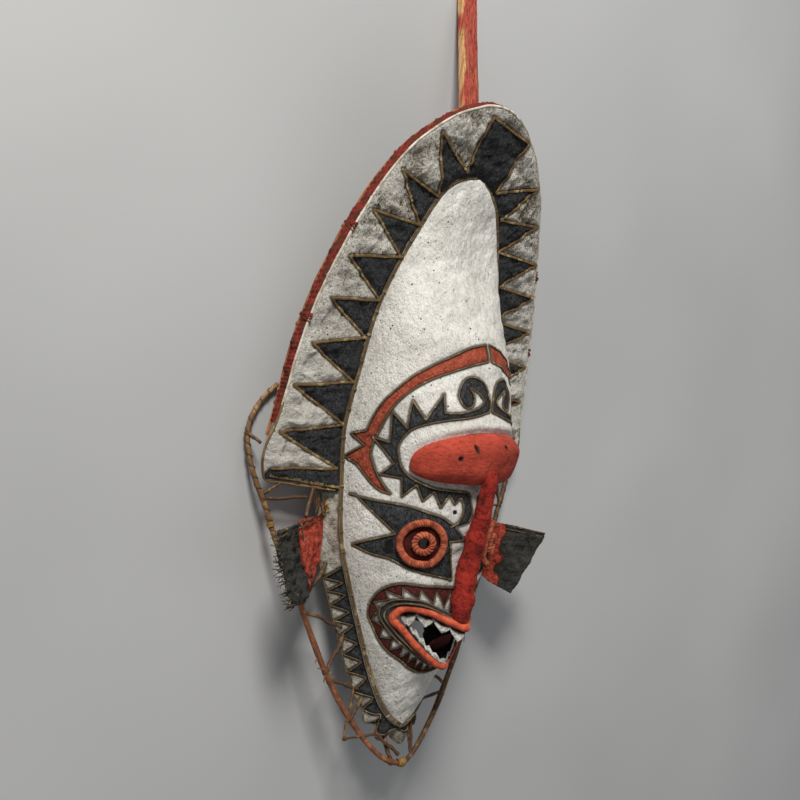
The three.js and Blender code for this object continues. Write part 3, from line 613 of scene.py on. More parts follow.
# Camera, floor and light
view = {"place": (-1.1752, -0.0229, 1.2852), "aim": (-0.1005, -0.0558, 0.12), "roll": 7.973, "lens": 47.06}
place = np.array(view["place"])
outward = unit(place - view["aim"])
level = unit(np.cross((0, 1, 0), outward))
upright = np.cross(outward, level)
cr, sr = math.cos(math.radians(view["roll"])), math.sin(math.radians(view["roll"]))
axes = [level * cr + upright * sr, upright * cr - level * sr, outward]
data = bpy.data.cameras.new("camera")
data.lens, data.sensor_width = view["lens"], 36
camera = bpy.data.objects.new("camera", data)
bpy.context.scene.collection.objects.link(camera)
facing = Matrix([[axes[j][i] for j in range(3)] for i in range(3)])
camera.matrix_world = Matrix.Translation(place) @ facing.to_4x4()
bpy.context.scene.camera = camera

studio = {"floor": "B2B3B4", "floorLight": "C1C2C3", "air": "EAEAEA",
    "sky": 0.27, "key": 228, "fill": 5, "back": 6}
bpy.ops.object.select_all(action="DESELECT")
bpy.ops.mesh.primitive_plane_add(size=30)
floor = bpy.context.object
floor.name = "floor"
floor.data.materials.append(newMaterial("pale paper floor"))
grey = add("MapRange", add("TexNoise", add("TexCoord", out="Object"), 1000 / 900, 2, 0.55), 0.3, 0.7)
surface(add("Mix", grey, studio["floor"], studio["floorLight"]), 0.95)
floor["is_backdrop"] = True
world = bpy.data.worlds.new("studio")
world.use_nodes = True
world.node_tree.nodes["Background"].inputs[0].default_value = linear(studio["air"])
world.node_tree.nodes["Background"].inputs[1].default_value = studio["sky"]
bpy.context.scene.world = world
bpy.context.scene.view_settings.view_transform = "Standard"
lo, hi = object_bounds()
centre = Vector(((lo.x + hi.x) / 2, (lo.y + hi.y) / 2, 0.12))
for name, at, size, power, tint in (
        ("key", (-2.1, 3.3, 2.3), 1.2, studio["key"], "FFFCF6"),
        ("fill", (1.6, -0.6, 2.3), 2.2, studio["fill"], "F6F8FF"),
        ("back", (0.4, 2.6, 1.6), 1.6, studio["back"], "FFFFFF")):
    light = bpy.data.lights.new(name, "AREA")
    light.shape, light.size, light.energy, light.color = "DISK", size, power, linear(tint)[:3]
    lamp = bpy.data.objects.new(name, light)
    bpy.context.scene.collection.objects.link(lamp)
    lamp.location = centre + Vector(at)
    lamp.rotation_euler = (centre - lamp.location).to_track_quat("-Z", "Y").to_euler()
print("camera and light set")

# Painted shapes of the face, on the wearer's right; the left is their mirror
spiral = [(-3, 276), (-3, 292), (-7, 308), (-13, 319), (-24, 326), (-36, 328), (-46, 323), (-52, 312),
    (-55, 300), (-52, 290), (-47, 283), (-40, 281), (-33, 286), (-31, 294), (-34, 304), (-39, 311)]
comma = [(-38, 312), (-27, 306), (-20, 300), (-14, 292), (-20, 284), (-37, 277), (-56, 273), (-73, 274)]
saw = [(-73, 274), (-74, 303), (-93, 265), (-105, 295), (-108, 254), (-120, 281), (-118, 235), (-129, 246),
    (-111, 204), (-119, 189), (-102, 182), (-100, 153), (-87, 171), (-78, 145), (-66, 160), (-55, 134),
    (-45, 154), (-36, 139), (-27, 149)]
sawEnd = [(-27, 149), (-22, 138), (-22, 122), (-28, 110), (-38, 104)]
oval = [(-38, 104), (-9, 112), (-5, 123), (-7, 140), (-11, 151), (-20, 157), (-34, 159), (-68, 165), (-87, 176),
    (-96, 184), (-104, 197), (-108, 210), (-111, 226), (-111, 235), (-108, 246), (-104, 253), (-92, 259),
    (-73, 263), (-37, 267), (-3, 276)]
archOuter = [(-3, 379), (-31, 373), (-60, 360), (-85, 347), (-106, 330), (-117, 314), (-123, 303), (-128, 288),
    (-131, 273), (-132.5, 256)]
archSpikes = [(-132.5, 256), (-136.2, 254), (-131, 235), (-136, 221), (-131, 207)]
archLow = [(-131, 207), (-127.5, 192), (-122.5, 175), (-117, 164), (-110, 158)]
archInner = [(-110, 158), (-114, 168), (-120.5, 188), (-124.5, 205), (-127, 220), (-127.5, 232), (-127, 249),
    (-125.5, 263), (-122.5, 277), (-118, 291), (-107, 309), (-93, 322), (-63, 336), (-35, 345), (-3, 353)]
patchTop = [(-130.5, 162), (-122, 150), (-107, 143), (-86, 134), (-70, 126), (-54, 120), (-38, 110)]
patchSide = [(-38, 110), (-10, 86), (-34, 82), (-12, 24)]
patchLow = [(-12, 24), (-50, 33), (-80, 43), (-100, 57), (-115, 65), (-125.5, 79)]
patchWhite = [(-125.5, 79), (-101, 94), (-129, 160)]
mouthOuter = [(0, 11), (-18, 12), (-42, 15), (-66, 18), (-79, 20), (-89, 18), (-96, 11), (-98, 0), (-97, -13),
    (-93, -29), (-86, -47), (-78, -66), (-67, -84), (-51, -99), (-34, -112), (-17, -119), (0, -121)]
bandHalf = [(0, -31, 138), (30, -20, 131), (52, -8, 120), (70, -3, 103), (84, -4, 85), (90, -14, 68),
    (88, -27, 62), (80, -44, 64), (66, -64, 70), (46, -82, 76), (22, -98, 78), (0, -106, 79)]
lipHalf = [(0, -47.5, 152), (10.5, -44, 147), (28.5, -34, 135), (44.3, -24, 120), (59.3, -18, 101),
    (72.3, -20, 85), (79.5, -33, 74.5), (69, -46, 81), (54.5, -65, 88.5), (38, -83, 94), (19.7, -98, 98.5),
    (0, -108, 101)]
lipFar = [(x * 0.95, y, z - 5 * min(1, x / 12)) for x, y, z in lipHalf]  # the left half sits a little lower


flatRadius = 135  # of the face when it is laid out flat for its lines, about half its width


def chart(p):  # flattens the face sideways, so that lines drawn on it bend as the cloth does
    p = np.asarray(p, float)
    k = np.clip(p[:, 0] / np.maximum(halfWidth(p[:, 1]), 1), -1, 1)
    return np.stack([flatRadius * np.arcsin(k), p[:, 1]], 1)


def unchart(p):
    return np.stack([np.sin(p[:, 0] / flatRadius) * halfWidth(p[:, 1]), p[:, 1]], 1)


def bent(points, step=3):
    return curve(chart(points), step)


def straight(points, step=3):
    return np.vstack([even(chart([a, b]), step) for a, b in zip(points, points[1:])])


def flip(p):
    return np.asarray(p) * (-1, 1)


# outlines of the painted areas
blackBand = np.vstack([bent(spiral), bent(comma), straight(saw), bent(sawEnd), bent(oval)])
arch = np.vstack([bent(archOuter), straight(archSpikes), bent(archLow), bent(archInner)])
eyePatch = np.vstack([bent(patchTop), straight(patchSide), bent(patchLow), straight(patchWhite)])
mouthRing = np.vstack([bent(mouthOuter), flip(bent(mouthOuter))[::-1]])
bandEdge = [(-x, y) for x, y, _ in bandHalf]
inner, outer = even(chart(bandEdge), 1), even(chart(mouthOuter), 1)
toothCount = 13
toothLine = []
for i in range(2 * toothCount + 1):
    k = i / (2 * toothCount)
    p, q = inner[int(k * (len(inner) - 1))], outer[int(k * (len(outer) - 1))]
    toothLine.append(p + (q - p) * (0.20 if i % 2 == 0 else 0.80))
toothLine = np.array(toothLine)
toothRing = np.vstack([toothLine, flip(toothLine)[::-1]])

mouthLoop = np.array(mirrored(bandHalf) + bandHalf[1:-1][::-1])[:, :2]
toward = np.array([0, -52])
mouthCut = np.array([toward + (p - toward) * (1 - 9 / np.linalg.norm(p - toward)) for p in mouthLoop])
eye = {"x": 70.5, "y": 80, "ring": 32.2, "tube": 4.8, "wide": 5.6, "inner": 13.2,
    "innerTube": 4.6, "innerWide": 5.2, "hole": 6.2, "cloth": 1.2}
eyeHole = [(eye["x"] + eye["hole"] * math.cos(q), eye["y"] + eye["hole"] * math.sin(q))
    for q in np.linspace(0, 6.28, 13)[:-1]]
wornHoles = [[(-105.5, 89), (-109, 80), (-108.5, 70), (-103, 60), (-100, 68), (-100.5, 79)],
    [(-38, 131), (-32, 130), (-30, 124), (-37, 123)], [(-30, 93), (-25, 91), (-27, 86)]]
holes = [mouthCut, eyeHole, mirrored(eyeHole)] + wornHoles

# Face: one cloth drawn over the whole dome, from the crown to the chin
faceCount = (132, 318)
faceState = {}


def quilt(d, size):  # cloth is drawn down along the sewn strips and swells between them
    return size * (1 - 1.6 * np.exp(-((np.abs(d) / 6) ** 2)) + 0.6 * np.exp(-((np.abs(d) / 14) ** 2)))


def faceAt(u, v):
    y = -202.6 + 845.2 * v
    across = 2 * u - 1
    x = np.sin(np.clip(across / 0.965, -1, 1) * math.pi / 2) * halfWidth(y)
    p, gone = np.stack([x, y], 1), np.zeros(len(x), bool)
    for outline in holes:  # draws the nearest cloth onto each hole's edge and drops what is inside
        near = np.abs(inside(p, outline))
        outline = even(np.vstack([outline, outline[:1]]), 0.5)
        for i in np.nonzero(near < 1.5)[0]:
            d = np.hypot(*(outline - p[i]).T)
            p[i] = outline[d.argmin()]
        gone |= inside(p, outline[:-1]) > 0.3
    flat = chart(p)
    black = np.max([inside(flat, o) for o in (blackBand, flip(blackBand), eyePatch, flip(eyePatch))], 0)
    lipSide = inside(p, mouthLoop)
    black = np.maximum(black, lipSide)
    redder = np.max([inside(flat, o) for o in (arch, flip(arch))], 0)
    dark = np.minimum(inside(flat, mouthRing), -inside(flat, toothRing))
    faceState.update(gone=gone, zones={"blackZone": black, "redZone": redder, "maroonZone": dark})
    d = np.min(np.abs([black, redder, inside(flat, mouthRing)]), 0)
    tuck = np.clip((np.abs(across) - 0.965) / 0.035, 0, 1)
    leaning = (halfWidth(y + 2) - halfWidth(y - 2)) / 4
    out = unit(xyz(np.sign(across), -leaning, 0 * y)) * (tuck * 7)[:, None]
    out[:, 2] = -1.7 * np.clip(tuck * 3, 0, 1)
    lift = quilt(d, cloth["quilt"] * 0.55) * (1 - np.abs(across) ** 8)
    return onFace(p[:, 0], p[:, 1], lift - 3 * np.clip(lipSide / 6, 0, 1)) + out


face = sheet("face_barkcloth", *faceCount, faceAt, (0.4, 0.85))
for name, values in faceState["zones"].items():
    zone(face, name, values)
select(face)
bpy.ops.object.mode_set(mode="EDIT")
bpy.ops.mesh.select_all(action="DESELECT")
bpy.ops.object.mode_set(mode="OBJECT")
face.data.vertices.foreach_set("select", faceState["gone"])
bpy.ops.object.mode_set(mode="EDIT")
bpy.ops.mesh.delete(type="VERT")
bpy.ops.object.mode_set(mode="OBJECT")
modified(face, "SOLIDIFY", thickness=cloth["thick"] / 1000, offset=-1, material_offset=1, material_offset_rim=1)
done(face, "cloth_white", [faceCloth, rawCloth], "face_cloth")
print("face cloth made")

# Crest: the cloth round the head, from under the face canes to the rim
# the corners of the zigzag: how far round from the crown, and how far out from the face to the rim
zigzag = {
    -1: [(0.28, 0.868), (1.02, 0.136), (2.19, 0.91), (2.82, 0.07), (3.48, 0.885), (3.86, 0.07), (4.47, 0.87),
        (4.93, 0.06), (5.43, 0.848), (5.95, 0.06), (6.32, 0.846), (7.14, 0.084), (7.54, 0.871), (8.68, 0.07),
        (8.86, 0.937), (9.95, 0.06), (10.19, 0.914), (11.43, 0.093), (11.54, 0.909)],
    1: [(1.08, 0.965), (1.45, 0.124), (2.51, 0.965), (2.82, 0.113), (3.52, 0.96), (3.91, 0.08), (4.55, 0.965),
        (5.1, 0.1), (5.44, 0.95), (5.95, 0.08), (6.35, 0.95), (7.14, 0.084), (7.52, 0.94), (8.68, 0.07),
        (8.86, 0.937), (9.95, 0.06), (10.19, 0.914), (11.43, 0.093), (11.54, 0.909)]}
marks = {side: [np.array([side * s, t]) for s, t in corners] for side, corners in zigzag.items()}


def crestLine(a, b, n=24):  # a straight line between two marks, laid down on the cloth
    k = np.linspace(0, 1, n)[:, None]
    q = np.asarray(a) + (np.asarray(b) - a) * k
    ends = onCrest(*np.array([a, b], float).T, bare=True)
    goal = ends[0] + (ends[1] - ends[0]) * k
    for _ in range(12):
        p = onCrest(q[:, 0], q[:, 1], bare=True)
        ds = (onCrest(q[:, 0] + 1e-3, q[:, 1], bare=True) - p) / 1e-3
        dt = (onCrest(q[:, 0], q[:, 1] + 1e-3, bare=True) - p) / 1e-3
        f = goal - p
        a11, a12, a22 = (ds * ds).sum(1), (ds * dt).sum(1), (dt * dt).sum(1)
        b1, b2 = (ds * f).sum(1), (dt * f).sum(1)
        det = np.maximum(a11 * a22 - a12 * a12, 1e-6)
        q = q + 0.8 * np.stack([(a22 * b1 - a12 * b2) / det, (a11 * b2 - a12 * b1) / det], 1)
        q[:, 0] = np.clip(q[:, 0], -last, last)
    return q


def crestFlat(p):
    return onCrest(p[:, 0], p[:, 1], bare=True)[:, :2]


sides = ((-1, "right"), (1, "left"))
blackCrest = []
for side, _ in sides:
    m = marks[side]
    rows = [crestLine(a, b) for a, b in zip(m[1:], m[2:])]
    corner, foot = np.array([side * last, 1.1]), np.array([side * last, -0.3])
    feet = np.stack([np.linspace(foot[0], m[1][0], 40), np.full(40, -0.3)], 1)
    blackCrest.append(crestFlat(np.vstack(rows + [np.array([m[-1], corner, foot]), feet])))
fanFeet = np.stack([np.linspace(marks[1][1][0], marks[-1][1][0], 20), np.full(20, -0.2)], 1)
fan = crestFlat(np.vstack([crestLine(marks[-1][1], marks[-1][0]), crestLine(marks[-1][0], marks[1][0]),
    crestLine(marks[1][0], marks[1][1]), fanFeet]))
crestState = {}


def crestAt(u, v):
    s = (2 * v - 1) * (last - 0.1)
    t0, t1 = 4 / span(s), 1 - 1.0 / span(s)
    t = t0 + (t1 - t0) * u
    under = -3.6 * np.clip(1 - (u * (t1 - t0) * span(s)) / 14, 0, 1)
    flat = onCrest(s, t, bare=True)[:, :2]
    crestState["black"] = d = np.max([inside(flat, o) for o in (*blackCrest, fan)], 0)
    return onCrest(s, t, 1.3 + under + quilt(d, cloth["quilt"]) * np.clip(np.minimum(t, 1 - t) * 9, 0, 1))


crest = sheet("crest_barkcloth", 36, 560, crestAt, (0.12, 1.7))
zone(crest, "blackZone", crestState["black"])
# the cloth's wave height: its material paints shade into the hollows of the folds from it
zone(crest, "hollow", onCrest.wave)
faceOut(crest, upward=True)
modified(crest, "SOLIDIFY", thickness=cloth["thick"] / 1000, offset=-1, material_offset=1, material_offset_rim=0)
done(crest, "cloth_white", [crestCloth, rawCloth], "crest_cloth")
print("crest cloth made")

# Split-cane strips, sewn down along every painted edge
strip = {"wide": 4.2, "thick": 3.0, "stitchEvery": 10.5}
stitchSeats = []


def sewn(name, place, line, wide, lift=0.9, every=None):
    # one strip along a line on the cloth; place gives a point of the cloth and takes a lift
    centre, above = place(line, lift), place(line, lift + 1)
    topward = unit(above - centre)
    t, side, top = frames(centre, topward)
    piece = rod(name, centre, (wide / 2, min(strip["thick"], wide * 0.92) / 2), 8, up=topward, square=0.7,
        shape=lambda d, q: 1 + 0.06 * np.sin(d * 0.55 + len(stitchSeats)))
    length = np.linalg.norm(np.diff(centre, axis=0), axis=1).sum()
    gap = every or strip["stitchEvery"]
    count = int(length / gap)
    for k in range(count):
        share = (k + 0.5 + 0.25 * math.sin(7.1 * k + length)) / count
        i = min(len(centre) - 1, int(share * len(centre)))
        stitchSeats.append(seat(centre[i], t[i], side[i], top[i], (wide / 3.4, 1, 1)))
    return piece


def onFaceLine(p, lift):
    q = unchart(p)
    return onFace(q[:, 0], q[:, 1], lift)


def onCrestLine(p, lift):
    return onCrest(p[:, 0], p[:, 1], 1.2 + lift)


for side, label in sides:
    m = marks[side]
    lines = [crestLine(a, b, 30) for a, b in zip(m, m[1:])]
    lines.append(crestLine((side * 11.78, 0.93), (side * 11.9, 0.08), 30))
    if side < 0:
        lines.append(crestLine(marks[-1][0], marks[1][0], 30))
    parts = [sewn("strip", onCrestLine, line, strip["wide"]) for line in lines]
    done(joined(label + "_zigzag_strips", parts), "cane_light", splitCane, label + "_crest_strip")

# the face's strips: the piece, its curved lines and how wide their strips are, and its lines with corners
edgings = [
    ("_brow_strips", (spiral, comma, sawEnd, oval[1:], archOuter, archLow, archInner), 2.2,
        (chart(saw), chart(archSpikes), chart([(-3, 379), (-3, 353)])), {"wide": 2.1, "every": 9}),
    ("_eye_strips", (patchTop, patchLow), 2.2, (chart(patchSide[1:]), chart(patchWhite)), {"wide": 2.4}),
    ("_mouth_strips", (mouthOuter,), 2.6, (toothLine,), {"wide": 1.7, "lift": 0.7, "every": 12})]
for side, label in sides:
    turned = (lambda p: p) if side < 0 else flip
    for name, curved, wide, cornered, settings in edgings:
        parts = [sewn("strip", onFaceLine, turned(bent(points, 2.5)), wide) for points in curved]
        for points in cornered:
            for a, b in zip(points, points[1:]):
                parts.append(sewn("strip", onFaceLine, turned(even([a, b], 2.5)), **settings))
        done(joined(label + name, parts), "cane_light", outlineCane)
print("strips sewn")

# Canes
canes = {"tieEvery": 37, "face": [(-203, 1.5), (-150, 1.7), (-60, 2.0), (250, 2.0), (450, 1.6), (643, 1.5)]}


def caneSize(y):
    return np.interp(y, *zip(*canes["face"]))


def outlineLoop(pitch, dz, step=4):
    ys = [643, 640, 633, 620, 600, 570, 535, 500, *range(460, -61, -40), -100, -135, -165, -186, -198]
    half = [np.array([float(halfWidth(y)), y, float(edgeZ(y))]) for y in ys]
    chin = np.array([0, -203, float(edgeZ(-203))])
    loop = np.array(half + [chin] + [h * (-1, 1, 1) for h in half[1:][::-1]])
    t = np.roll(loop, -1, 0) - np.roll(loop, 1, 0)
    t[:, 2] = 0
    t, off = unit(t), 1.2 + pitch * caneSize(loop[:, 1])
    return curve(loop + np.stack([-t[:, 1] * off, t[:, 0] * off, np.full(len(t), dz)], 1), step, closed=True)


for name, pitch, seed in (("face_inner_cane", 1, 21), ("face_outer_cane", 3.05, 22)):
    loop = twisted(outlineLoop(pitch, 0.9))
    bar = rod(name + "_split", loop, caneSize(loop[:, 1]), 10, closed=True, shape=uneven(0.08, seed))
    done(bar, "cane_light", outlineCane, name)
ring = np.linspace(0, 2 * math.pi, 17)
tieRing = [(4.6 * math.cos(q), 0.8 * math.sin(q * 0.5), 2.9 * math.sin(q)) for q in ring]
tieModel = small("tie", tieRing, 0.6, 5)
centreLoop = twisted(outlineLoop(2.02, 0.9))
t, _, _ = frames(centreLoop, closed=True)
upward = np.array([0, 0, 1.0])
ties, rng = [], np.random.default_rng(4)
step = canes["tieEvery"] / 4
k = 3.0
while k < len(centreLoop) - 2:
    i = int(k)
    along = unit(t[i] + rng.normal(0, 0.12, 3))
    across = unit(np.cross(along, upward))
    top = unit(np.cross(across, along))
    wide = caneSize(centreLoop[i][1]) / 2
    for shiftBy in (0, 1.7):
        ties.append(seat(centreLoop[i] + along * shiftBy, along, across, top, (wide, 1, wide)))
    k += step * rng.uniform(0.7, 1.3)
done(stamped("face_cane_ties", tieModel, ties), "cane_light", thread)

rimStations = [11.8, 11.4, 11, 10.5, 10, 9, 8, 7, 6, 5, 4, 3.5, 3, 2.5, 2, 1.5, 1, 0.5]
rimEnd = [(147, 168, 18), (200, 176, 10), (245, 183, 3), (260, 185, 0), (268, 190, 1)]
rimHalf = [np.array(p, float) for p in rimEnd]
rimHalf += [rimPoint(np.array(float(s))) for s in rimStations]
rimPath = np.array(rimHalf + [rimPoint(np.array(0.0))] + [p * (-1, 1, 1) for p in rimHalf[::-1]])
rimLine = twisted(curve(rimPath, 4))
rimRod = rod("rim_front_cane_painted", rimLine, 2.1, 10, shape=uneven(0.10, 23, 45))
for f in rimRod.data.polygons:  # below the wings' corners the cane is bare
    f.material_index = int(f.center.y * 1000 < 0.978 * 292 - 368.9)
done(rimRod, "cane_rim", [rimCane, splitCane], "rim_front_cane")
backward = unit(np.array([0, 0.42, -0.9]))
bandDepth = through([(735, 15), (690, 15), (640, 17), (590, 19), (540, 20), (480, 20), (400, 20), (330, 19),
    (290, 16), (262, 12), (240, 6.5)])


def sideAt(s, k, out=0):
    p, q = rimPoint(s), rimPoint(np.minimum(s + 0.1, last)) - rimPoint(np.maximum(s - 0.1, -last))
    n = unit(xyz(-q[..., 1], q[..., 0], 0))
    n = n * np.where((n * (p - (0, 400, 0))).sum(-1) < 0, -1, 1)[..., None]
    back = backward * np.asarray(bandDepth(p[..., 1]) * k)[..., None]
    return twisted(p + n * np.asarray(out)[..., None] + back)


sideBand = {"ends": 9.9, "from": 0.04, "share": 0.92, "lift": 1.2, "full": 2.4, "thick": 2.2}


def bandAt(u, v):
    s = (2 * v - 1) * sideBand["ends"]
    wave = 1.3 * swell(s * 60, u * 25, 30, 31) + 0.9 * np.sin(s * 52 + u * 6) + 0.5 * swell(s * 60, u * 25, 9, 32)
    out = sideBand["lift"] + sideBand["full"] * np.sin(u * math.pi) ** 0.6 + wave
    return sideAt(s, sideBand["from"] + sideBand["share"] * u, out)


band = sheet("red_side_band", 12, 620, bandAt, (0.036, 1.7))
faceOut(band)
modified(band, "SOLIDIFY", thickness=sideBand["thick"] / 1000, offset=-1)
done(band, "side_red", redFibre, "side_band")
backStations = np.array([10.4, 10, 9.5, 9, 8, 7, 6, 5, 4, 3.5, 3, 2.5, 2, 1.5, 1, 0.5])
backHalf = sideAt(backStations, 1.0)
crown = sideAt(np.array([0.0]), 1.0)
backFar = sideAt(-backStations[::-1], 1.0)
backLine = curve(np.vstack([backHalf, crown, backFar]), 4)
backRod = rod("rim_back_cane_red", backLine, 2.6, 10, shape=uneven(0.10, 24, 40))
done(backRod, "cane_rim", backCane, "rim_back_cane")
wrapCoil = [(4.1 * math.cos(q), q * 0.22, 4.1 * math.sin(q)) for q in np.linspace(0, 6 * math.pi, 37)]
wrapModel = small("wrap", wrapCoil, 0.7, 5)
wraps = []
t, s, top = frames(backLine)
rng = np.random.default_rng(12)
for i in range(10, len(backLine) - 10, 34):
    i += int(rng.integers(-7, 7))
    wraps.append(seat(backLine[i], t[i], s[i], top[i], (0.95, 1, 0.95)))
done(stamped("rim_lashings", wrapModel, wraps), "side_red", backCane)
# thick bundles of cloth strip where the two rim canes are tied together
bundles = []
for s0 in (-4.96, -6.94, 4.9, 7.0):
    a, b = rimPoint(np.array(s0)), rimPoint(np.array(s0)) + backward * float(bandDepth(outerY(abs(s0))))
    sideways = unit(np.array([math.copysign(1.0, s0), 0.35, 0]))
    middle, reach = twisted(np.array([(a + b) / 2]))[0], np.linalg.norm(b - a) / 2 + 2.6
    along = unit(rimPoint(np.array(s0 + 0.1)) - rimPoint(np.array(s0 - 0.1)))
    rng = np.random.default_rng(int(40 + s0))
    for turnNo in range(5):
        q = np.linspace(0, 2 * math.pi, 29)[:, None]
        lift, slip = rng.uniform(2.8, 3.8), rng.uniform(-1.2, 1.2)
        ring = middle + along * ((turnNo - 2) * 1.9 + slip) + sideways * lift * np.cos(q)
        ring = ring + unit(b - a) * reach * rng.uniform(0.9, 1.12) * np.sin(q)
        ring = ring + along * rng.uniform(1, 5) * np.sin(q + turnNo)
        bundles.append(rod("turn", ring, (rng.uniform(1.3, 2.0), 0.9), 6, closed=True,
            shape=uneven(0.25, 140 + turnNo, 15)))
done(joined("rim_bundles", bundles), "side_red", redFibre)
print("canes made")

# Jaw band: cloth turned back from the face canes, round the cheeks and the chin
jawYs = [166, 150, 135, 120, 95, 70, 45, 20, -5, -30, -55, -80, -105, -130, -150, -168, -184, -196]
jawHalf = [(float(halfWidth(y)), y, float(edgeZ(y))) for y in jawYs]
jawBand = {"step": 3, "deep": 27, "thick": 2.0}
jawLine = curve(jawHalf + [(0, -203, float(edgeZ(-203)))] + mirrored(jawHalf[::-1]), jawBand["step"])
jt = np.gradient(jawLine, axis=0)
jt[:, 2] = 0
jt = unit(jt)
jawMarks = [44, 22, 3, -23, -44, -72, -100, -125, -156, -180]


def jawPoint(i, k, out=0):
    # k runs from the front edge at 0 to the rear edge at 1
    p, n = jawLine[i], np.stack([-jt[i][:, 1], jt[i][:, 0], np.zeros(len(i))], 1)
    off = np.where(k < 0.5, 3 + 14 * k, 10 + 16 * (k - 0.5))
    z0 = p[:, 2] - 3.2
    z = np.where(k < 0.5, z0 + (-6 - z0) * k * 2, -6 - 40 * (k - 0.5))
    top = np.clip((p[:, 1] - 112) / 50, 0, 1)  # gathered up under the wing
    z = z0 + (z - z0) * (1 - 0.55 * top)
    off = off + top * (4 + 3 * np.sin(k * 14 + p[:, 0] * 0.1)) * np.clip(k * 3, 0, 1)
    chin = np.exp(-((p[:, 0] / 44) ** 2)) * (p[:, 1] < 0)  # flared and ragged at the chin
    off = off + chin * k * (11 + 10 * np.sin(p[:, 0] * 0.33))
    z = z + chin * k * (17 + 4 * np.sin(p[:, 0] * 0.8))
    q = p + n * (off + out)[:, None]
    return np.stack([q[:, 0], q[:, 1], z], 1)


jawState = {}


def jawAt(u, v):
    i = np.rint(v * (len(jawLine) - 1)).astype(int)
    down = u * jawBand["deep"]
    jawState["flat"] = np.stack([v * (len(jawLine) - 1) * jawBand["step"], down], 1)
    return twisted(jawPoint(i, u, 1.1 + 0.7 * swell(i * jawBand["step"], down, 24, 41)))


jaw = sheet("jaw_barkcloth", 12, len(jawLine) - 1, jawAt, (0.03, 0.8))
half = len(jawLine) // 2
jagged = []
for y, below in zip(jawMarks, jawMarks[1:] + [-203]):  # points toward the face, and between them toward the back
    for mark, depth in ((y, 5.4), ((y + below) / 2, 26)):
        station = float(np.interp(-mark, -jawLine[:half + 1, 1], np.arange(half + 1)))
        jagged.append((station * jawBand["step"], depth))
whole = (len(jawLine) - 1) * jawBand["step"]
jagLine = jagged + [(whole / 2, 5.4)] + [(whole - a, b) for a, b in jagged[::-1]]
blackJaw = [(jagLine[0][0], -9)] + jagLine + [(jagLine[-1][0], -9)]
zone(jaw, "blackZone", inside(jawState["flat"], blackJaw))
faceOut(jaw)
modified(jaw, "SOLIDIFY", thickness=jawBand["thick"] / 1000, offset=-1, material_offset=1, material_offset_rim=0)
done(jaw, "cloth_black", [jawCloth, rawCloth], "jaw_side_band")


def onJawLine(p, lift):
    f = p[:, 0] / jawBand["step"]
    a = np.clip(np.floor(f).astype(int), 0, len(jawLine) - 2)
    w = (f - a)[:, None]
    k = np.clip(p[:, 1] / jawBand["deep"], 0, 1)
    out = np.full(len(k), 1.2 + lift)
    return twisted(jawPoint(a, k, out) * (1 - w) + jawPoint(a + 1, k, out) * w)


parts = [sewn("strip", onJawLine, even([a, b], 2.5), 2.0, 0.8, every=14) for a, b in zip(jagLine, jagLine[1:])]
rearEdge = onJawLine(np.array([(k, jawBand["deep"]) for k in np.linspace(2, whole - 2, 200)]), 0.4)
parts.append(rod("edge", even(rearEdge, 4), 1.5, 8))
done(joined("jaw_strips", parts), "cane_light", outlineCane)
print("jaw band made")

# Brow bulb: a long cushion sewn to the forehead
def soften(v):
    return np.sign(v) * np.abs(v) ** (2 / bulb["round"])


def bulbAt(front):
    def at(u, v):
        q, w = (u - 0.5) * math.radians(176), (v - 0.5) * math.radians(176)
        a, b = soften(np.sin(q)), soften(np.cos(q)) * soften(np.sin(w))
        full = np.maximum(0, 1 - np.abs(a) ** bulb["round"] - np.abs(b) ** bulb["round"]) ** 0.46
        x, y = bulb["x"] + bulb["long"] * a, bulb["y"] + bulb["high"] * b
        dents = 0.9 * swell(x, y, 60, 51) + 0.35 * swell(x, y, 18, 52)
        lift = 3.4 + (bulb["thick"] + dents) * full if front else 0 * x + 1.4
        return onFace(x, y, lift - sag(x, y) * (0.6 if front else 1) + (0 if front else 0.8))
    return at


def pair(name, across, along, near, far, size):
    # a padded piece of two sheets, bridged where their edges meet
    a, b = sheet(name, across, along, near, size), sheet(name + "Back", across, along, far, size)
    piece = joined(name, [a, b])
    editAll(piece)
    bpy.ops.mesh.remove_doubles(threshold=2e-5)
    bpy.ops.mesh.select_all(action="DESELECT")
    bpy.ops.mesh.select_non_manifold(extend=False, use_wire=False, use_boundary=True, use_multi_face=False,
        use_non_contiguous=False, use_verts=False)
    bpy.ops.mesh.bridge_edge_loops()
    bpy.ops.mesh.select_all(action="SELECT")
    bpy.ops.mesh.normals_make_consistent(inside=False)
    bpy.ops.object.mode_set(mode="OBJECT")
    bpy.ops.object.shade_smooth()
    return piece


brow = pair("brow_cushion", 190, 84, bulbAt(True), bulbAt(False), (0.25, 0.1))
# insect holes: small punched pits
pits = [(-49.5, 215.3, 3.3, 3.2, 0), (-31.8, 227.6, 1.9, 5.2, 0.5), (14.9, 230.2, 1.8, 3.6, 0.9),
    (52.5, 219.5, 2.0, 2.6, 0)]
co = np.array([v.co for v in brow.data.vertices])
depth = np.full(len(co), -20.0)
for px, py, rx, ry, lean in pits:
    centre3 = toRow(onFace(np.array([px]), np.array([py]), bulb["thick"]))[0] * 1000
    dx, dy = co[:, 0] * 1000 - centre3[0], co[:, 1] * 1000 - centre3[1]
    dx, dy = dx * math.cos(lean) + dy * math.sin(lean), dy * math.cos(lean) - dx * math.sin(lean)
    d = np.sqrt((dx / rx) ** 2 + (dy / ry) ** 2)
    d[co[:, 2] * 1000 < centre3[2] - 14] = 99
    co[d < 2, 2] -= 0.0042 * min(1, rx / 2) * np.exp(-(d[d < 2] ** 3))
    depth = np.maximum(depth, (0.8 - d) * 2.2 * min(rx, ry))
brow.data.vertices.foreach_set("co", co.ravel())
# the dark inside each insect hole is painted shade
zone(brow, "pitZone", depth)
done(brow, "paint_red", redCloth, "brow_bulb")

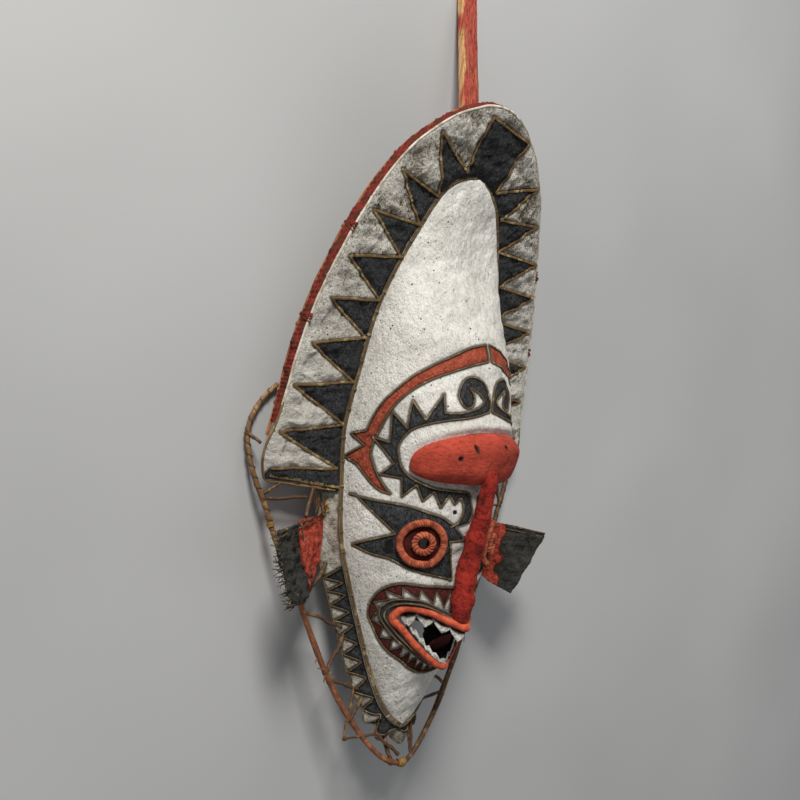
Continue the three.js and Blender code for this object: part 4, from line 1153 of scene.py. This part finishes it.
# Nose: a stuffed tube that hangs from the cushion to the upper lip
nosePath = curve([(0, 203, 203), (0, 190, 208.5), (0, 170, 206.5), (0, 146, 197), (0, 114, 188), (-1, 83, 176),
    (-2, 50, 162), (-3, 18, 155), (-4.5, -14, 147.5), (-4, -31, 145), (-4, -42, 146)], 2)
noseGirth = [(203, 4), (190, 7.6), (175, 10.2), (146, 12.8), (114, 13.4), (83, 15.6), (50, 16.6), (18, 16.2),
    (-2, 17.2), (-16, 17.4), (-30, 14.2), (-38, 10.4), (-43, 6.5)]
noseSize = np.interp(nosePath[:, 1], *zip(*noseGirth[::-1]))


def noseShape(d, q):  # dents, and the tuck near its end
    dents = 0.05 * swell(d, 16 * np.cos(q), 46, 61) + 0.05 * swell(d, 16 * np.sin(q), 34, 63)
    dents = dents + 0.022 * swell(d + 4 * np.cos(q), 16 * np.sin(q), 13, 62)
    return 1 + dents + 0.10 * np.exp(-(((d - 218) / 9) ** 2)) * np.cos(q * 2 + 1)


nose = done(rod("nose_tube", nosePath, noseSize, 40, shape=noseShape), "paint_red", noseCloth, "nose")
print("brow and nose made")


# Eyes: wound rings over a dark disc
def aroundEye(side, radius, q):
    x, y = side * eye["x"], eye["y"]
    c, n = onFace(x, y), unit(onFace(x, y, 1) - onFace(x, y))
    u = unit(np.cross((0, 1, 0), n))
    p = c + u * (radius * np.cos(q))[:, None] + np.cross(n, u) * (radius * np.sin(q))[:, None]
    return p[:, 0], p[:, 1]


def wound(name, path, wide, high, up, pitch, depth, sides=20):
    length = np.linalg.norm(np.diff(path, axis=0), axis=1).sum()
    turns = round(length / pitch)

    def shape(d, q):
        return uneven(0.04, 71, 16)(d, q) - depth * np.abs(np.cos(math.pi * turns * d / length + q)) ** 6
    piece = rod(name, path, (wide, high), sides, closed=True, up=up, shape=shape, square=0.85)
    co, mid = np.array([v.co for v in piece.data.vertices]), toRow(path)
    _, side, top = (turn(v) for v in frames(path, up, True))
    near = np.array([np.linalg.norm(mid - c, axis=1).argmin() for c in co])
    off = (co - mid[near]) * 1000
    d = (np.abs((off * side[near]).sum(1) / wide) ** 2.35
        + np.abs((off * top[near]).sum(1) / high) ** 2.35) ** (1 / 2.35)
    layer = piece.data.attributes.new("groove", "FLOAT", "POINT")
    layer.data.foreach_set("value", np.clip((0.99 - d) / depth, 0, 1).astype(np.float32))
    return piece


eyeCloths, earFlaps = [], []
rings = [  # the piece, its node, its radius, half width and half height, its lift, steps, turns' pitch and depth
    ("_eye_cord", "_eye_ring", eye["ring"], eye["wide"], eye["tube"], 0.6, 420, 3.4, 0.09),
    ("_pupil_cord", "_eye_inner_ring", eye["inner"], eye["innerWide"], eye["innerTube"], 2.8, 220, 5.2, 0.2)]
for side, label in sides:
    x, y = side * eye["x"], eye["y"]
    up = unit(onFace(x, y, 1) - onFace(x, y))
    for name, node, radius, wide, high, lift, steps, pitch, depth in rings:
        path = onFace(*aroundEye(side, radius, np.linspace(0, 2 * math.pi, steps + 1)), high + lift)
        done(wound(label + name, path, wide, high, up, pitch, depth), "paint_red", eyeCord, label + node)

    def discAt(u, v):
        x, y = aroundEye(side, 6.5 + 22 * u, v * 2 * math.pi)
        return onFace(x, y, 1.6 + 1.2 * np.sin(u * math.pi) + 0.3 * swell(x, y, 14, 72))
    disc = sheet(label + "_eye_cloth", 10, 72, discAt, (0.03, 0.2))
    eyeCloths.append(disc)
    welded(disc)
    modified(disc, "SOLIDIFY", thickness=eye["cloth"] / 1000, offset=-1)
    done(disc, "paint_maroon", maroonCloth, label + "_eye_disc")
print("eyes made")

# Mouth
mouth = {"lip": 5.7, "corner": 0.2, "proud": 2.6, "cloth": 1.4, "edge": 1.25, "middle": -58, "tongue": 2.0}
lipLine = curve(np.vstack([mirrored(lipHalf), lipFar[1:-1][::-1]]), 1.6, closed=True)
bandLine = curve(np.vstack([mirrored(bandHalf), bandHalf[1:-1][::-1]]), 1.6, closed=True)
lipCorner = 1.6 * lipLine[:, 0].argmin()


def lipShape(d, q):
    swollen = mouth["corner"] * np.exp(-((d - lipCorner) / 16) ** 2)
    return uneven(0.05, 66, 30)(d, q) + uneven(0.03, 67, 9)(d, q) - 1 + swollen


lips = rod("lip_cord_painted", lipLine, mouth["lip"], 20, closed=True, shape=lipShape)
mouthMiddle, lowerFrom = toRow([(0, -62, 100), (0, -40, 100)])
for f in lips.data.polygons:  # the lower lip's inner side is never painted
    low = f.center.y < lowerFrom[1] - 0.1 * (abs(f.center.x) - 0.06)
    inward = f.normal.x * (mouthMiddle[0] - f.center.x) > 0
    inward = inward and abs(f.normal.x) > (0.22 if f.center.x < 0 else 0.05)
    f.material_index = int(low and inward)
done(lips, "paint_red", [lipCord, bandCloth], "lip_cord")


def overLips(out, lip, k, lift):
    # the band's cloth, from its edge on the face, where k is 0, to the lip
    skin, n = xyz(out[:, 0], out[:, 1], faceZ(out[:, 0], out[:, 1])), faceNormal(out[:, 0], out[:, 1])
    proud = (out[:, 2] - skin[:, 2]) * n[:, 2]
    lifted = np.where((proud > mouth["proud"])[:, None], out, skin + n * mouth["proud"])
    return twisted(lifted + (lip - lifted) * k + n * lift)


def nearestOf(line, v):
    return line[np.minimum((v * (len(line) - 1)).round().astype(int), len(line) - 1)]


def mouthBandAt(u, v):
    lift = 2.2 * np.sin(u * math.pi) + 0.5 * swell(v * 500, u * 30, 20, 81)
    return overLips(nearestOf(bandLine, v), nearestOf(lipLine, v), u[:, None] * 0.93, lift[:, None])


mouthBand = sheet("mouth_black_band", 12, 300, mouthBandAt, (0.03, 0.5))
welded(mouthBand)
modified(mouthBand, "SOLIDIFY", thickness=mouth["cloth"] / 1000, offset=-1)
done(mouthBand, "cloth_black", bandCloth, "mouth_band")


# a black cloth hung inside the mouth; its black is also painted shade for the dark inside the hollow mask
def shadeLiningAt(u, v):
    rim = nearestOf(lipLine, v)
    p = rim + np.stack([0 * u, 0 * u, -4 - 52 * u], 1)
    p[:, :2] += ((0, mouth["middle"]) - rim[:, :2]) * (0.07 + 0.30 * u + 0.02 * np.sin(v * 170) * u)[:, None]
    return twisted(p)


shadeLining = sheet("mouth_shade_lining", 10, 300, shadeLiningAt, (0.03, 0.5))
welded(shadeLining)
modified(shadeLining, "SOLIDIFY", thickness=mouth["cloth"] / 1000, offset=0)
done(shadeLining, "cloth_black", bandCloth)
edges = []
for k, lift in ((0.02, 1.4), (0.42, 2.6)):
    line = even(overLips(bandLine, nearestOf(lipLine, np.linspace(0, 1, len(bandLine))), k, lift), 3)
    line = np.vstack([line[:-1], line[:1]])
    edges.append(rod("edge", line, mouth["edge"], 8, closed=True, shape=uneven(0.1, 25, 30)))
done(joined("mouth_band_canes", edges), "cane_light", outlineCane)


# a strip cut into teeth: base and tip are heights from the line, dark how much of the root is painted dark
def toothRow(name, points, count, base, tip, slopeBack, seed, dark, least=0.25):
    line = curve(points, 1.0)
    rng = np.random.default_rng(seed)
    length = len(line) - 1
    jitter = rng.uniform(-0.18, 0.18, count + 1)
    height = rng.uniform(0.75, 1.15, count + 1)

    def at(u, v):
        at.root = (dark - u) * (tip - base)
        i = np.rint(v * length).astype(int)
        c = v * count
        k = np.floor(np.minimum(c, count - 1e-6)).astype(int)
        f = np.abs((c - k) * 2 - 1 + jitter[k])
        reach = (tip - base) * (least + (1 - least) * np.clip(1 - f, 0, 1) ** 0.7 * height[k])
        p = line[i].copy()
        p[:, 1] += base + reach * u
        p[:, 2] += slopeBack * u + 0.8 * swell(v * 120, u * 9, 12, seed)
        return twisted(p)
    piece = sheet(name, 8, 4 * length, at, (0.012, 0.2))
    zone(piece, "rootZone", at.root * np.sign(tip - base))
    faceOut(piece)
    modified(piece, "SOLIDIFY", thickness=mouth["cloth"] / 1000, offset=0, material_offset=1,
        material_offset_rim=0)
    return piece


def within(p, dy, dz, k=0.93):
    return (p[0] * k, p[1] + dy, p[2] + dz)


upperLip, lowerLip = lipHalf[:7], lipHalf[6:]
upperLine = [within(p, -4.5, -3) for p in [*mirrored(upperLip[:6][::-1]), *lipFar[1:6]]]
lowerLine = [within(p, 6, 2, 0.86) for p in mirrored(lowerLip[1:])]
lowerLine += [within(p, 6, 6, 0.84) for p in lipFar[7:-1][::-1]]
upperTeeth = toothRow("upper_tooth_strip", upperLine, 8, -1, -20, -1, 5, 0.22)
done(upperTeeth, "cloth_white", [toothCloth, bandCloth], "upper_teeth")
lowerTeeth = toothRow("lower_tooth_strip", lowerLine, 11, -9, 8, 2, 6, 0.3, 0.62)
done(lowerTeeth, "cloth_white", [toothCloth, bandCloth], "lower_teeth")


def tongueAt(u, v):
    rows = np.array([(-99, 62, 20), (-90, 74, 22), (-79, 88, 22), (-68, 101, 19), (-60, 111, 12), (-57, 115, 4)],
        float)
    k = v * 5
    y, z, w = (np.interp(k, range(6), rows[:, i]) for i in range(3))
    x = (2 * u - 1) * w
    return twisted(xyz(x, y - 1 + (x / 18) ** 2, z + 0.8 * swell(x, z, 15, 82)))


tongue = sheet("tongue_flap", 14, 30, tongueAt, (0.036, 0.06))
modified(tongue, "SOLIDIFY", thickness=mouth["tongue"] / 1000, offset=0)
done(tongue, "paint_maroon", maroonCloth, "tongue")
print("mouth made")

# Ears: stiff flaps with a red root and a frayed end
ears = {"x": 150, "z": -11, "swept": 29.4, "thick": 2.8}
earRed = {-1: [(-20, 140), (98, 122), (104, 112), (86, 70), (66, 30), (50, 8), (-20, 20)],
    1: [(-20, 140), (92, 120), (90, 104), (82, 70), (76, 40), (70, 0), (-20, 0)]}
earTop = [(-3, 127), (45, 120), (90, 112), (166, 97)]
earLow = {-1: [(-1, 92), (6, 62), (36, 28), (76, -3), (114, -11)],
    1: [(-1, 92), (15, 60), (38, 36), (56, 14), (99, -8)]}
earEnd = [(166, 97), (160, 74), (149, 42), (136, 12), (114, -11)]


def earPoint(side, l, h, out=0.0):
    q = math.radians(ears["swept"])
    l, h, out = np.broadcast_arrays(l, h, out)
    x, z = l * math.cos(q) - out * math.sin(q), l * math.sin(q) + out * math.cos(q)
    return xyz(side * (ears["x"] + x), h, ears["z"] + z)


for side, label in sides:
    top = even(earTop, 1)
    low = even(earLow[side], 1)

    def earAt(u, v):
        a, b = (np.stack([np.interp(u, np.linspace(0, 1, len(line)), line[:, k]) for k in (0, 1)], 1)
            for line in (top, low))
        p = a + (b - a) * v[:, None]
        p[:, 0] += (12 if side < 0 else 2) * np.sin(v * math.pi) * u  # the end bows outward
        stir = np.stack([swell(u * 90, v * 90, 25, 91), swell(u * 90, v * 90, 25, 92)], 1)
        p += 0.8 * stir * np.clip(u * 4, 0, 1)[:, None]
        earAt.flat = p
        waves = ((2.6, 48, 93 + side), (1.9, 20, 94), (0.7, 9, 95))
        wave = sum(high * swell(*p.T, size, seed) for high, size, seed in waves)
        return earPoint(side, p[:, 0], p[:, 1], 1.5 + wave * np.clip(u * 3, 0, 1))
    ear = sheet(label + "_ear_flap", 90, 70, earAt, (0.17, 0.11))
    blurred = (2.5 if side < 0 else 3.5) * swell(*earAt.flat.T, 26, 98)
    zone(ear, "redZone", inside(earAt.flat, earRed[side]) + blurred)
    modified(ear, "SOLIDIFY", thickness=ears["thick"] / 1000, offset=0)
    earFlaps.append(ear)
    done(ear, "cloth_black", earCloth, label + "_ear")
    place = lambda p, lift: earPoint(side, p[:, 0], p[:, 1], 2.4 + lift)
    parts = [sewn("strip", place, even([(90, 112), (42, 31)], 3), 2.2, 0.9)]
    for dy in (0, -7):
        parts.append(sewn("strip", place, even([(4, 125 + dy), (90, 111 + dy), (163, 96 + dy)], 3), 2.0, 0.9))
    done(joined(label + "_ear_strips", parts), "cane_light", darkCane)

# frayed fibre along the right ear's end, and its golden tie
strands, rng = [], np.random.default_rng(9)
endLine = even(earEnd + [(104, -4), (90, 4)], 1)
for k in range(150):
    l, h = endLine[rng.integers(0, len(endLine))]
    reach, drop = rng.uniform(4, 15), rng.uniform(-7, 6)
    p0 = earPoint(-1, l - 3, h, rng.uniform(0, 3))
    p2 = earPoint(-1, l + reach, h + drop, rng.uniform(-7, 9))
    p1 = (p0 + p2) / 2 + rng.normal(0, 1.6, 3)
    strands.append(rod("strand", np.array([p0, p1, p2]), rng.uniform(0.35, 0.8), 4))
done(joined("right_ear_fringe", strands), "cloth_black", drabFibre)
print("ears made")

# Stitches over all strips
stitchPath = [(-2.3, 0, -1.0), (-1.9, 0.15, 0.7), (-0.8, 0.3, 1.25), (0.8, 0.45, 1.25), (1.9, 0.6, 0.7),
    (2.3, 0.75, -1.0)]
stitchModel = small("stitch", stitchPath, 0.42, 4)
done(stamped("strip_stitches", stitchModel, stitchSeats), "cane_light", thread)
print("stitches:", len(stitchSeats))

# Hoop and its stays
hoopHalf = [(248, 318, 6), (262, 303, 0), (279, 279, -6), (290, 250, -9), (290, 225, -10), (283, 196, -10),
    (271, 164, -10), (261, 145, -10), (243, 99, -10), (217, 45, -10), (191, -8, -10), (167, -62, -10),
    (140, -116, -10), (101, -180, -8), (52, -238, -3), (22, -260, 2)]
hoopLine = curve(mirrored(hoopHalf) + [(5, -265, 5)] + hoopHalf[::-1], 4)
hoopSize = np.interp(hoopLine[:, 1], [-265, -200, 60, 160, 210, 320], [4.0, 4.5, 4.6, 3.9, 3.8, 3.9])
hoopParts = rod("bent_hoop", hoopLine, hoopSize, 14,
    shape=lambda d, q: uneven(0.07, 101, 70)(d, q) + 0.04 * np.clip(np.sin(d / 34), 0, 1) ** 12)  # with low nodes
for f in hoopParts.data.polygons:
    f.material_index = int(f.center.y < toRow([(0, 20, 0)])[0][1]) if f.center.x < 0.01 else 2
done(hoopParts, "cane_dark", [hoopCane, footCane, darkCane], "hoop")


def bindAlong(path, radius, pitch, thick, start, stop):
    # a strip wound slantwise round a cane between two lengths along it
    _, s, top = frames(path)
    d = np.concatenate([[0], np.cumsum(np.linalg.norm(np.diff(path, axis=0), axis=1))])
    k = np.arange(start, stop, pitch / 10)
    pick = lambda arr: np.stack([np.interp(k, d, arr[:, i]) for i in range(3)], 1)
    p, s, top = pick(path), unit(pick(s)), unit(pick(top))
    q = (k / pitch * 2 * math.pi)[:, None]
    away = s * np.cos(q) + top * np.sin(q)
    return rod("bind", p + away * (radius + thick * 0.4), (thick * 1.7, thick), 6, up=away)


hoopLength = np.linalg.norm(np.diff(hoopLine, axis=0), axis=1).sum()
binds = [bindAlong(hoopLine, 4.2, 17, 0.7, start, start + 290) for start in (10, hoopLength - 300)]
done(joined("hoop_bindings", binds), "cane_dark", darkCane)
overFloor = 0.0003
for piece in (hoopParts, binds[0]):  # pressed flat where the mask rests on the floor
    co = np.array([v.co for v in piece.data.vertices])
    co[:, 2] = np.maximum(co[:, 2], overFloor)
    piece.data.vertices.foreach_set("co", co.ravel())


def onHoop(side, y):
    for p, q in zip(hoopLine, hoopLine[1:]):
        if side * (p[0] + q[0]) > 0 and (p[1] - y) * (q[1] - y) <= 0 and p[1] != q[1]:
            return p + (q - p) * (y - p[1]) / (q[1] - p[1])
    return np.array([0, -266, 5.0])


def onJaw(side, y):
    p = lambda h: np.array([float(halfWidth(h)), h, 0])
    t = unit(p(y - 2) - p(y + 2))
    return np.array([side * (float(halfWidth(y)) - t[1] * 13), y + t[0] * 13, -16])


def one(p):
    return twisted(np.array([p], float))[0]


stays = []
for side, label in sides:
    at = lambda x, y, z: np.array([side * x, y, z], float)
    stays += [(label + "_wing_link", onHoop(side, 243), one(at(280, 238, 14)), 4, 4.5, "twig"),
        (label + "_wing_stay", onHoop(side, 152), one(at(240, 181, 3)), 3, 2, "twig"),
        (label + "_ear_bar", onHoop(side, 147), at(190, 150, 2), 3, 0, "twig"),
        (label + "_ear_post", one(at(184, 174, 12)), at(206, 119, 22), 3, 2, "twig"),
        (label + "_cheek_stay", onJaw(side, 56), onHoop(side, -12), 3, 4, "cord"),
        (label + "_jaw_stay", onHoop(side, -22), onJaw(side, -46), 4, 3, "twig"),
        (label + "_jaw_cord", onJaw(side, -54), onHoop(side, -116), 3, 4, "cord")]
stays += [("right_lower_stay", onHoop(-1, -127), onJaw(-1, -142), 4, 3, "twig"),
    ("right_chin_stay", onJaw(-1, -151), onHoop(-1, -190), 3, 4, "cord"),
    ("left_lower_stay", onHoop(1, -156), onJaw(1, -120), 4, 3, "twig"),
    ("left_chin_stay", onJaw(1, -172), onHoop(1, -166), 3, 4, "twig"),
    ("chin_post_right", onJaw(-1, -194), onHoop(-1, -262), 3, 4, "cord"),
    ("chin_post_left", onJaw(1, -186), onHoop(1, -257), 3, 4, "cord")]
lashSeats = []
lashCoil = []
for q in np.linspace(0, 8 * math.pi, 49):
    radius = 5.0 + 0.5 * math.sin(q * 0.7)
    lashCoil.append((radius * math.cos(q), q * 0.24 - 3, radius * math.sin(q)))
lashModel = small("lash", lashCoil, 0.75, 5)
for i, (name, a, b, fromA, fromB, kind) in enumerate(stays):
    d = unit(b - a)
    a, b = a + d * fromA, b - d * fromB
    rng = np.random.default_rng(200 + i)
    size = np.linalg.norm(b - a)
    bow = rng.normal(0, 1, 3)
    bow = unit(bow - d * np.dot(bow, d)) * size * 0.03
    line = curve([a, a + (b - a) * 0.33 + bow, a + (b - a) * 0.67 - bow * 0.6, b], 1.2)
    if kind == "cord":
        shape = lambda d, q: 1 + 0.16 * np.cos(2 * q - d * 2 * math.pi / 11)
        piece = rod(name + "_cord", line, 3.3, 14, shape=shape)
    else:
        piece = rod(name + "_twig", line, 2.7, 12, shape=uneven(0.14, 300 + i, 22))
    done(piece, "cane_dark", darkCane, name)
    for p in (a, b):
        near = np.linalg.norm(hoopLine - p, axis=1)
        j = near.argmin()
        if near[j] < 12 and i % 3 != 1:
            t = unit(hoopLine[min(j + 1, len(hoopLine) - 1)] - hoopLine[max(j - 1, 0)])
            lashSeats.append(lashing(hoopLine[j], t, (0.92, rng.uniform(0.5, 0.95), 0.92)))
# broken ends of old lashings on the right shoulder of the hoop, and dry stalks stuck in above the right ear
stubs, rng = [], np.random.default_rng(31)
for y, along, out, long in (
        (-88, 0.9, 0.3, 17), (-93, -0.5, 0.8, 12), (-112, 0.3, 1.0, 17), (-118, -0.8, 0.5, 14),
        (-121, 0.2, -0.9, 12)):
    p = onHoop(-1, y)
    d = np.array([-out, along, 0.15]) * long
    bow = rng.normal(0, 1.6, 3)
    line = curve([p, p + d * 0.35 + bow, p + d * 0.7 + bow * 1.4, p + d], 1.5)
    stubs.append(rod("stub", line, np.linspace(1.9, 0.7, len(line)), 6))
done(joined("hoop_stubs", stubs), "cane_dark", hoopCane)
stalks, fibres = [], []
for k in range(9):
    p = earPoint(-1, 22 + rng.uniform(-16, 24), 128 + rng.uniform(-4, 6), rng.uniform(6, 12))
    d = np.array([rng.uniform(-16, 9), rng.uniform(16, 30), rng.uniform(-2, 8)])
    line = curve([p, p + d * 0.5 + rng.normal(0, 1.5, 3), p + d], 1.5)
    stalks.append(rod("stalk", line, np.interp(np.linspace(0, 1, len(line)), [0, 0.4, 1], [1.1, 1.6, 0.4]), 6))
for k in range(16):
    p = earPoint(-1, rng.uniform(-2, 8), 126 + rng.uniform(-6, 12), rng.uniform(5, 10))
    d = np.array([rng.uniform(-7, 12), rng.uniform(-12, 26), rng.uniform(0, 7)])
    line = curve([p, p + d * 0.5 + rng.normal(0, 3, 3), p + d], 2)
    fibres.append(rod("fibre", line, 0.55, 4))
done(joined("dry_stalks", stalks), "cane_dark", darkCane)
done(joined("golden_fibres", fibres), "cane_dark", vine)
# old twigs still tied on under the chin, knotted where they meet
twigs, knots = [], []
for i, (a, b, radius) in enumerate((((-83.6, -142.5, -11), (-108.3, -216, -5), 2.3),
        ((-110, -216, -5), (-44, -216.5, -2), 2.0),
        ((-48, -213, -1), (-4, -252, 5), 3.0), ((36, -184, -6), (28, -249, 1), 2.3))):
    a, b = np.array(a, float), np.array(b, float)
    bow = rng.normal(0, 2.2, 3) * (1, 1, 0.3)
    line = curve([a, a + (b - a) * 0.35 + bow, a + (b - a) * 0.7 - bow * 0.7, b], 1.3)
    twigs.append(rod("twig", line, radius, 10, shape=uneven(0.16, 340 + i, 18)))
    if i in (1, 2):
        knots.append(lashing(a + unit(b - a) * 3, unit(b - a), (0.62, 0.7, 0.62)))
done(joined("chin_twigs", twigs), "cane_dark", darkCane)
lashSeats += knots
lashAgain = lashModel.copy()
lashAgain.data = lashModel.data.copy()
done(stamped("hoop_lashings", lashModel, lashSeats), "cane_dark", lashVine)
footSeats, t = [], np.array([1.0, 0.1, 0])
for k in (-1, 0.2, 1):
    top = unit(np.cross(t, (0, 0.3 * k, 1)))
    middle, along = np.array([2 + 5 * k, -265.5 + abs(k), 4.5]), unit(t + np.array([0, 0.5 * k, 0]))
    footSeats.append(seat(middle, along, unit(np.cross(t, top)), top, (1.1, 0.9, 1.1)))
j = np.linalg.norm(hoopLine - onHoop(-1, 108), axis=1).argmin()  # and where the right ear is tied to it
footSeats.append(lashing(hoopLine[j], unit(hoopLine[j + 1] - hoopLine[j - 1]), (1.15, 1.1, 1.15)))
done(stamped("golden_lashings", lashAgain, footSeats), "cane_dark", vine)
print("hoop made")

# Pole and its hidden ribs
pole = {"x": 20, "z": 149, "wide": 37, "thick": 14, "foot": 445, "top": 990}
bpy.ops.object.select_all(action="DESELECT")
bpy.ops.mesh.primitive_cube_add(size=1)
lath = bpy.context.object
lath.name = lath.data.name = "painted_lath"
bpy.ops.object.mode_set(mode="EDIT")
bpy.ops.mesh.select_all(action="SELECT")
bpy.ops.mesh.subdivide(number_cuts=1)
bpy.ops.object.mode_set(mode="OBJECT")
modified(lath, "SUBSURF", subdivision_type="SIMPLE", levels=5, render_levels=5)
co = np.array([v.co for v in lath.data.vertices])
x, y, z = co.T
y = pole["foot"] + (y + 0.5) * (pole["top"] - pole["foot"])
w = pole["wide"] / 2 * (1 - 0.035 * (swell(y, 0 * y, 160, 111) + 1.2))
d = pole["thick"] / 2 * (1 - 0.04 * (swell(y, 0 * y, 120, 112) + 1.2))
nx, nz = 2 * x, 2 * z
r = (np.abs(nx) ** 9 + np.abs(nz) ** 9) ** (1 / 9) / np.maximum(np.maximum(np.abs(nx), np.abs(nz)), 1e-6)
nx, nz = nx / np.maximum(r, 1), nz / np.maximum(r, 1)
bow = np.clip((y - 480) / 220, 0, 1)
px = pole["x"] + 6 * bow * bow * (3 - 2 * bow) + nx * w + 0.3 * swell(y, nx * 15, 45, 113)
pz = pole["z"] + nz * d + 0.25 * swell(y, nx * 15, 30, 114)
lath.data.vertices.foreach_set("co", toRow(np.stack([px, y, pz], 1)).ravel())
zone(lath, "bareEdge", np.clip((-nx - 0.80 - 0.12 * swell(y, 0 * y, 90, 115)) * 14, -4, 4))
bpy.ops.object.shade_smooth_by_angle(angle=math.radians(40))
done(lath, "pole_wood", lathPaint, "pole")
ribZ = pole["z"] - pole["thick"] / 2 - 0.4 - 2.5
for name, y in (("upper_rib", 590), ("lower_rib", 475)):
    x, z = float(halfWidth(y)) - 9, float(edgeZ(y)) - 9
    mid = 0.35 * z + 0.65 * ribZ
    line = curve([(-x, y, z), (-x * 0.65, y, mid), (pole["x"] - 34, y, ribZ), (pole["x"], y, ribZ),
        (pole["x"] + 30, y, ribZ),
        (x * 0.78, y, mid), (x, y, z)], 4)
    done(rod(name + "_cane", line, 2.5, 10, shape=uneven(0.08, 120)), "cane_light", darkCane, name)
print("pole made")

# every sheet of cloth: its flat size, its area, how it is held and what it rests on
cloths = [(face, (0.46, 0.9), 0.29, "stretched", ["face_inner_cane_split", "face_outer_cane_split"]),
    (crest, (0.58, 0.62), 0.156, "stretched", ["rim_front_cane_painted", "face_outer_cane_split"]),
    (jaw, (0.05, 0.82), 0.0335, "stretched", ["face_outer_cane_split"]),
    (band, (0.024, 1.7), 0.026, "stretched", ["rim_front_cane_painted", "rim_back_cane_red"]),
    (mouthBand, (0.03, 0.5), 0.0091, "stretched", ["lip_cord_painted"]),
    (shadeLining, (0.06, 0.48), 0.0204, "hung", ["lip_cord_painted"]),
    (tongue, (0.045, 0.075), 0.0028, "hung", ["mouth_shade_lining"]),
    (upperTeeth, (0.02, 0.36), 0.0063, "hung", ["lip_cord_painted"]),
    (lowerTeeth, (0.02, 0.36), 0.0055, "hung", ["lip_cord_painted"]),
    (eyeCloths[0], (0.06, 0.06), 0.0026, "stretched", ["right_eye_cord"]),
    (eyeCloths[1], (0.06, 0.06), 0.0027, "stretched", ["left_eye_cord"]),
    (earFlaps[0], (0.18, 0.14), 0.018, "hung", ["right_ear_strips"]),
    (earFlaps[1], (0.18, 0.14), 0.0157, "hung", ["left_ear_strips"])]
for piece, flat, area, held, under in cloths:
    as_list(under)
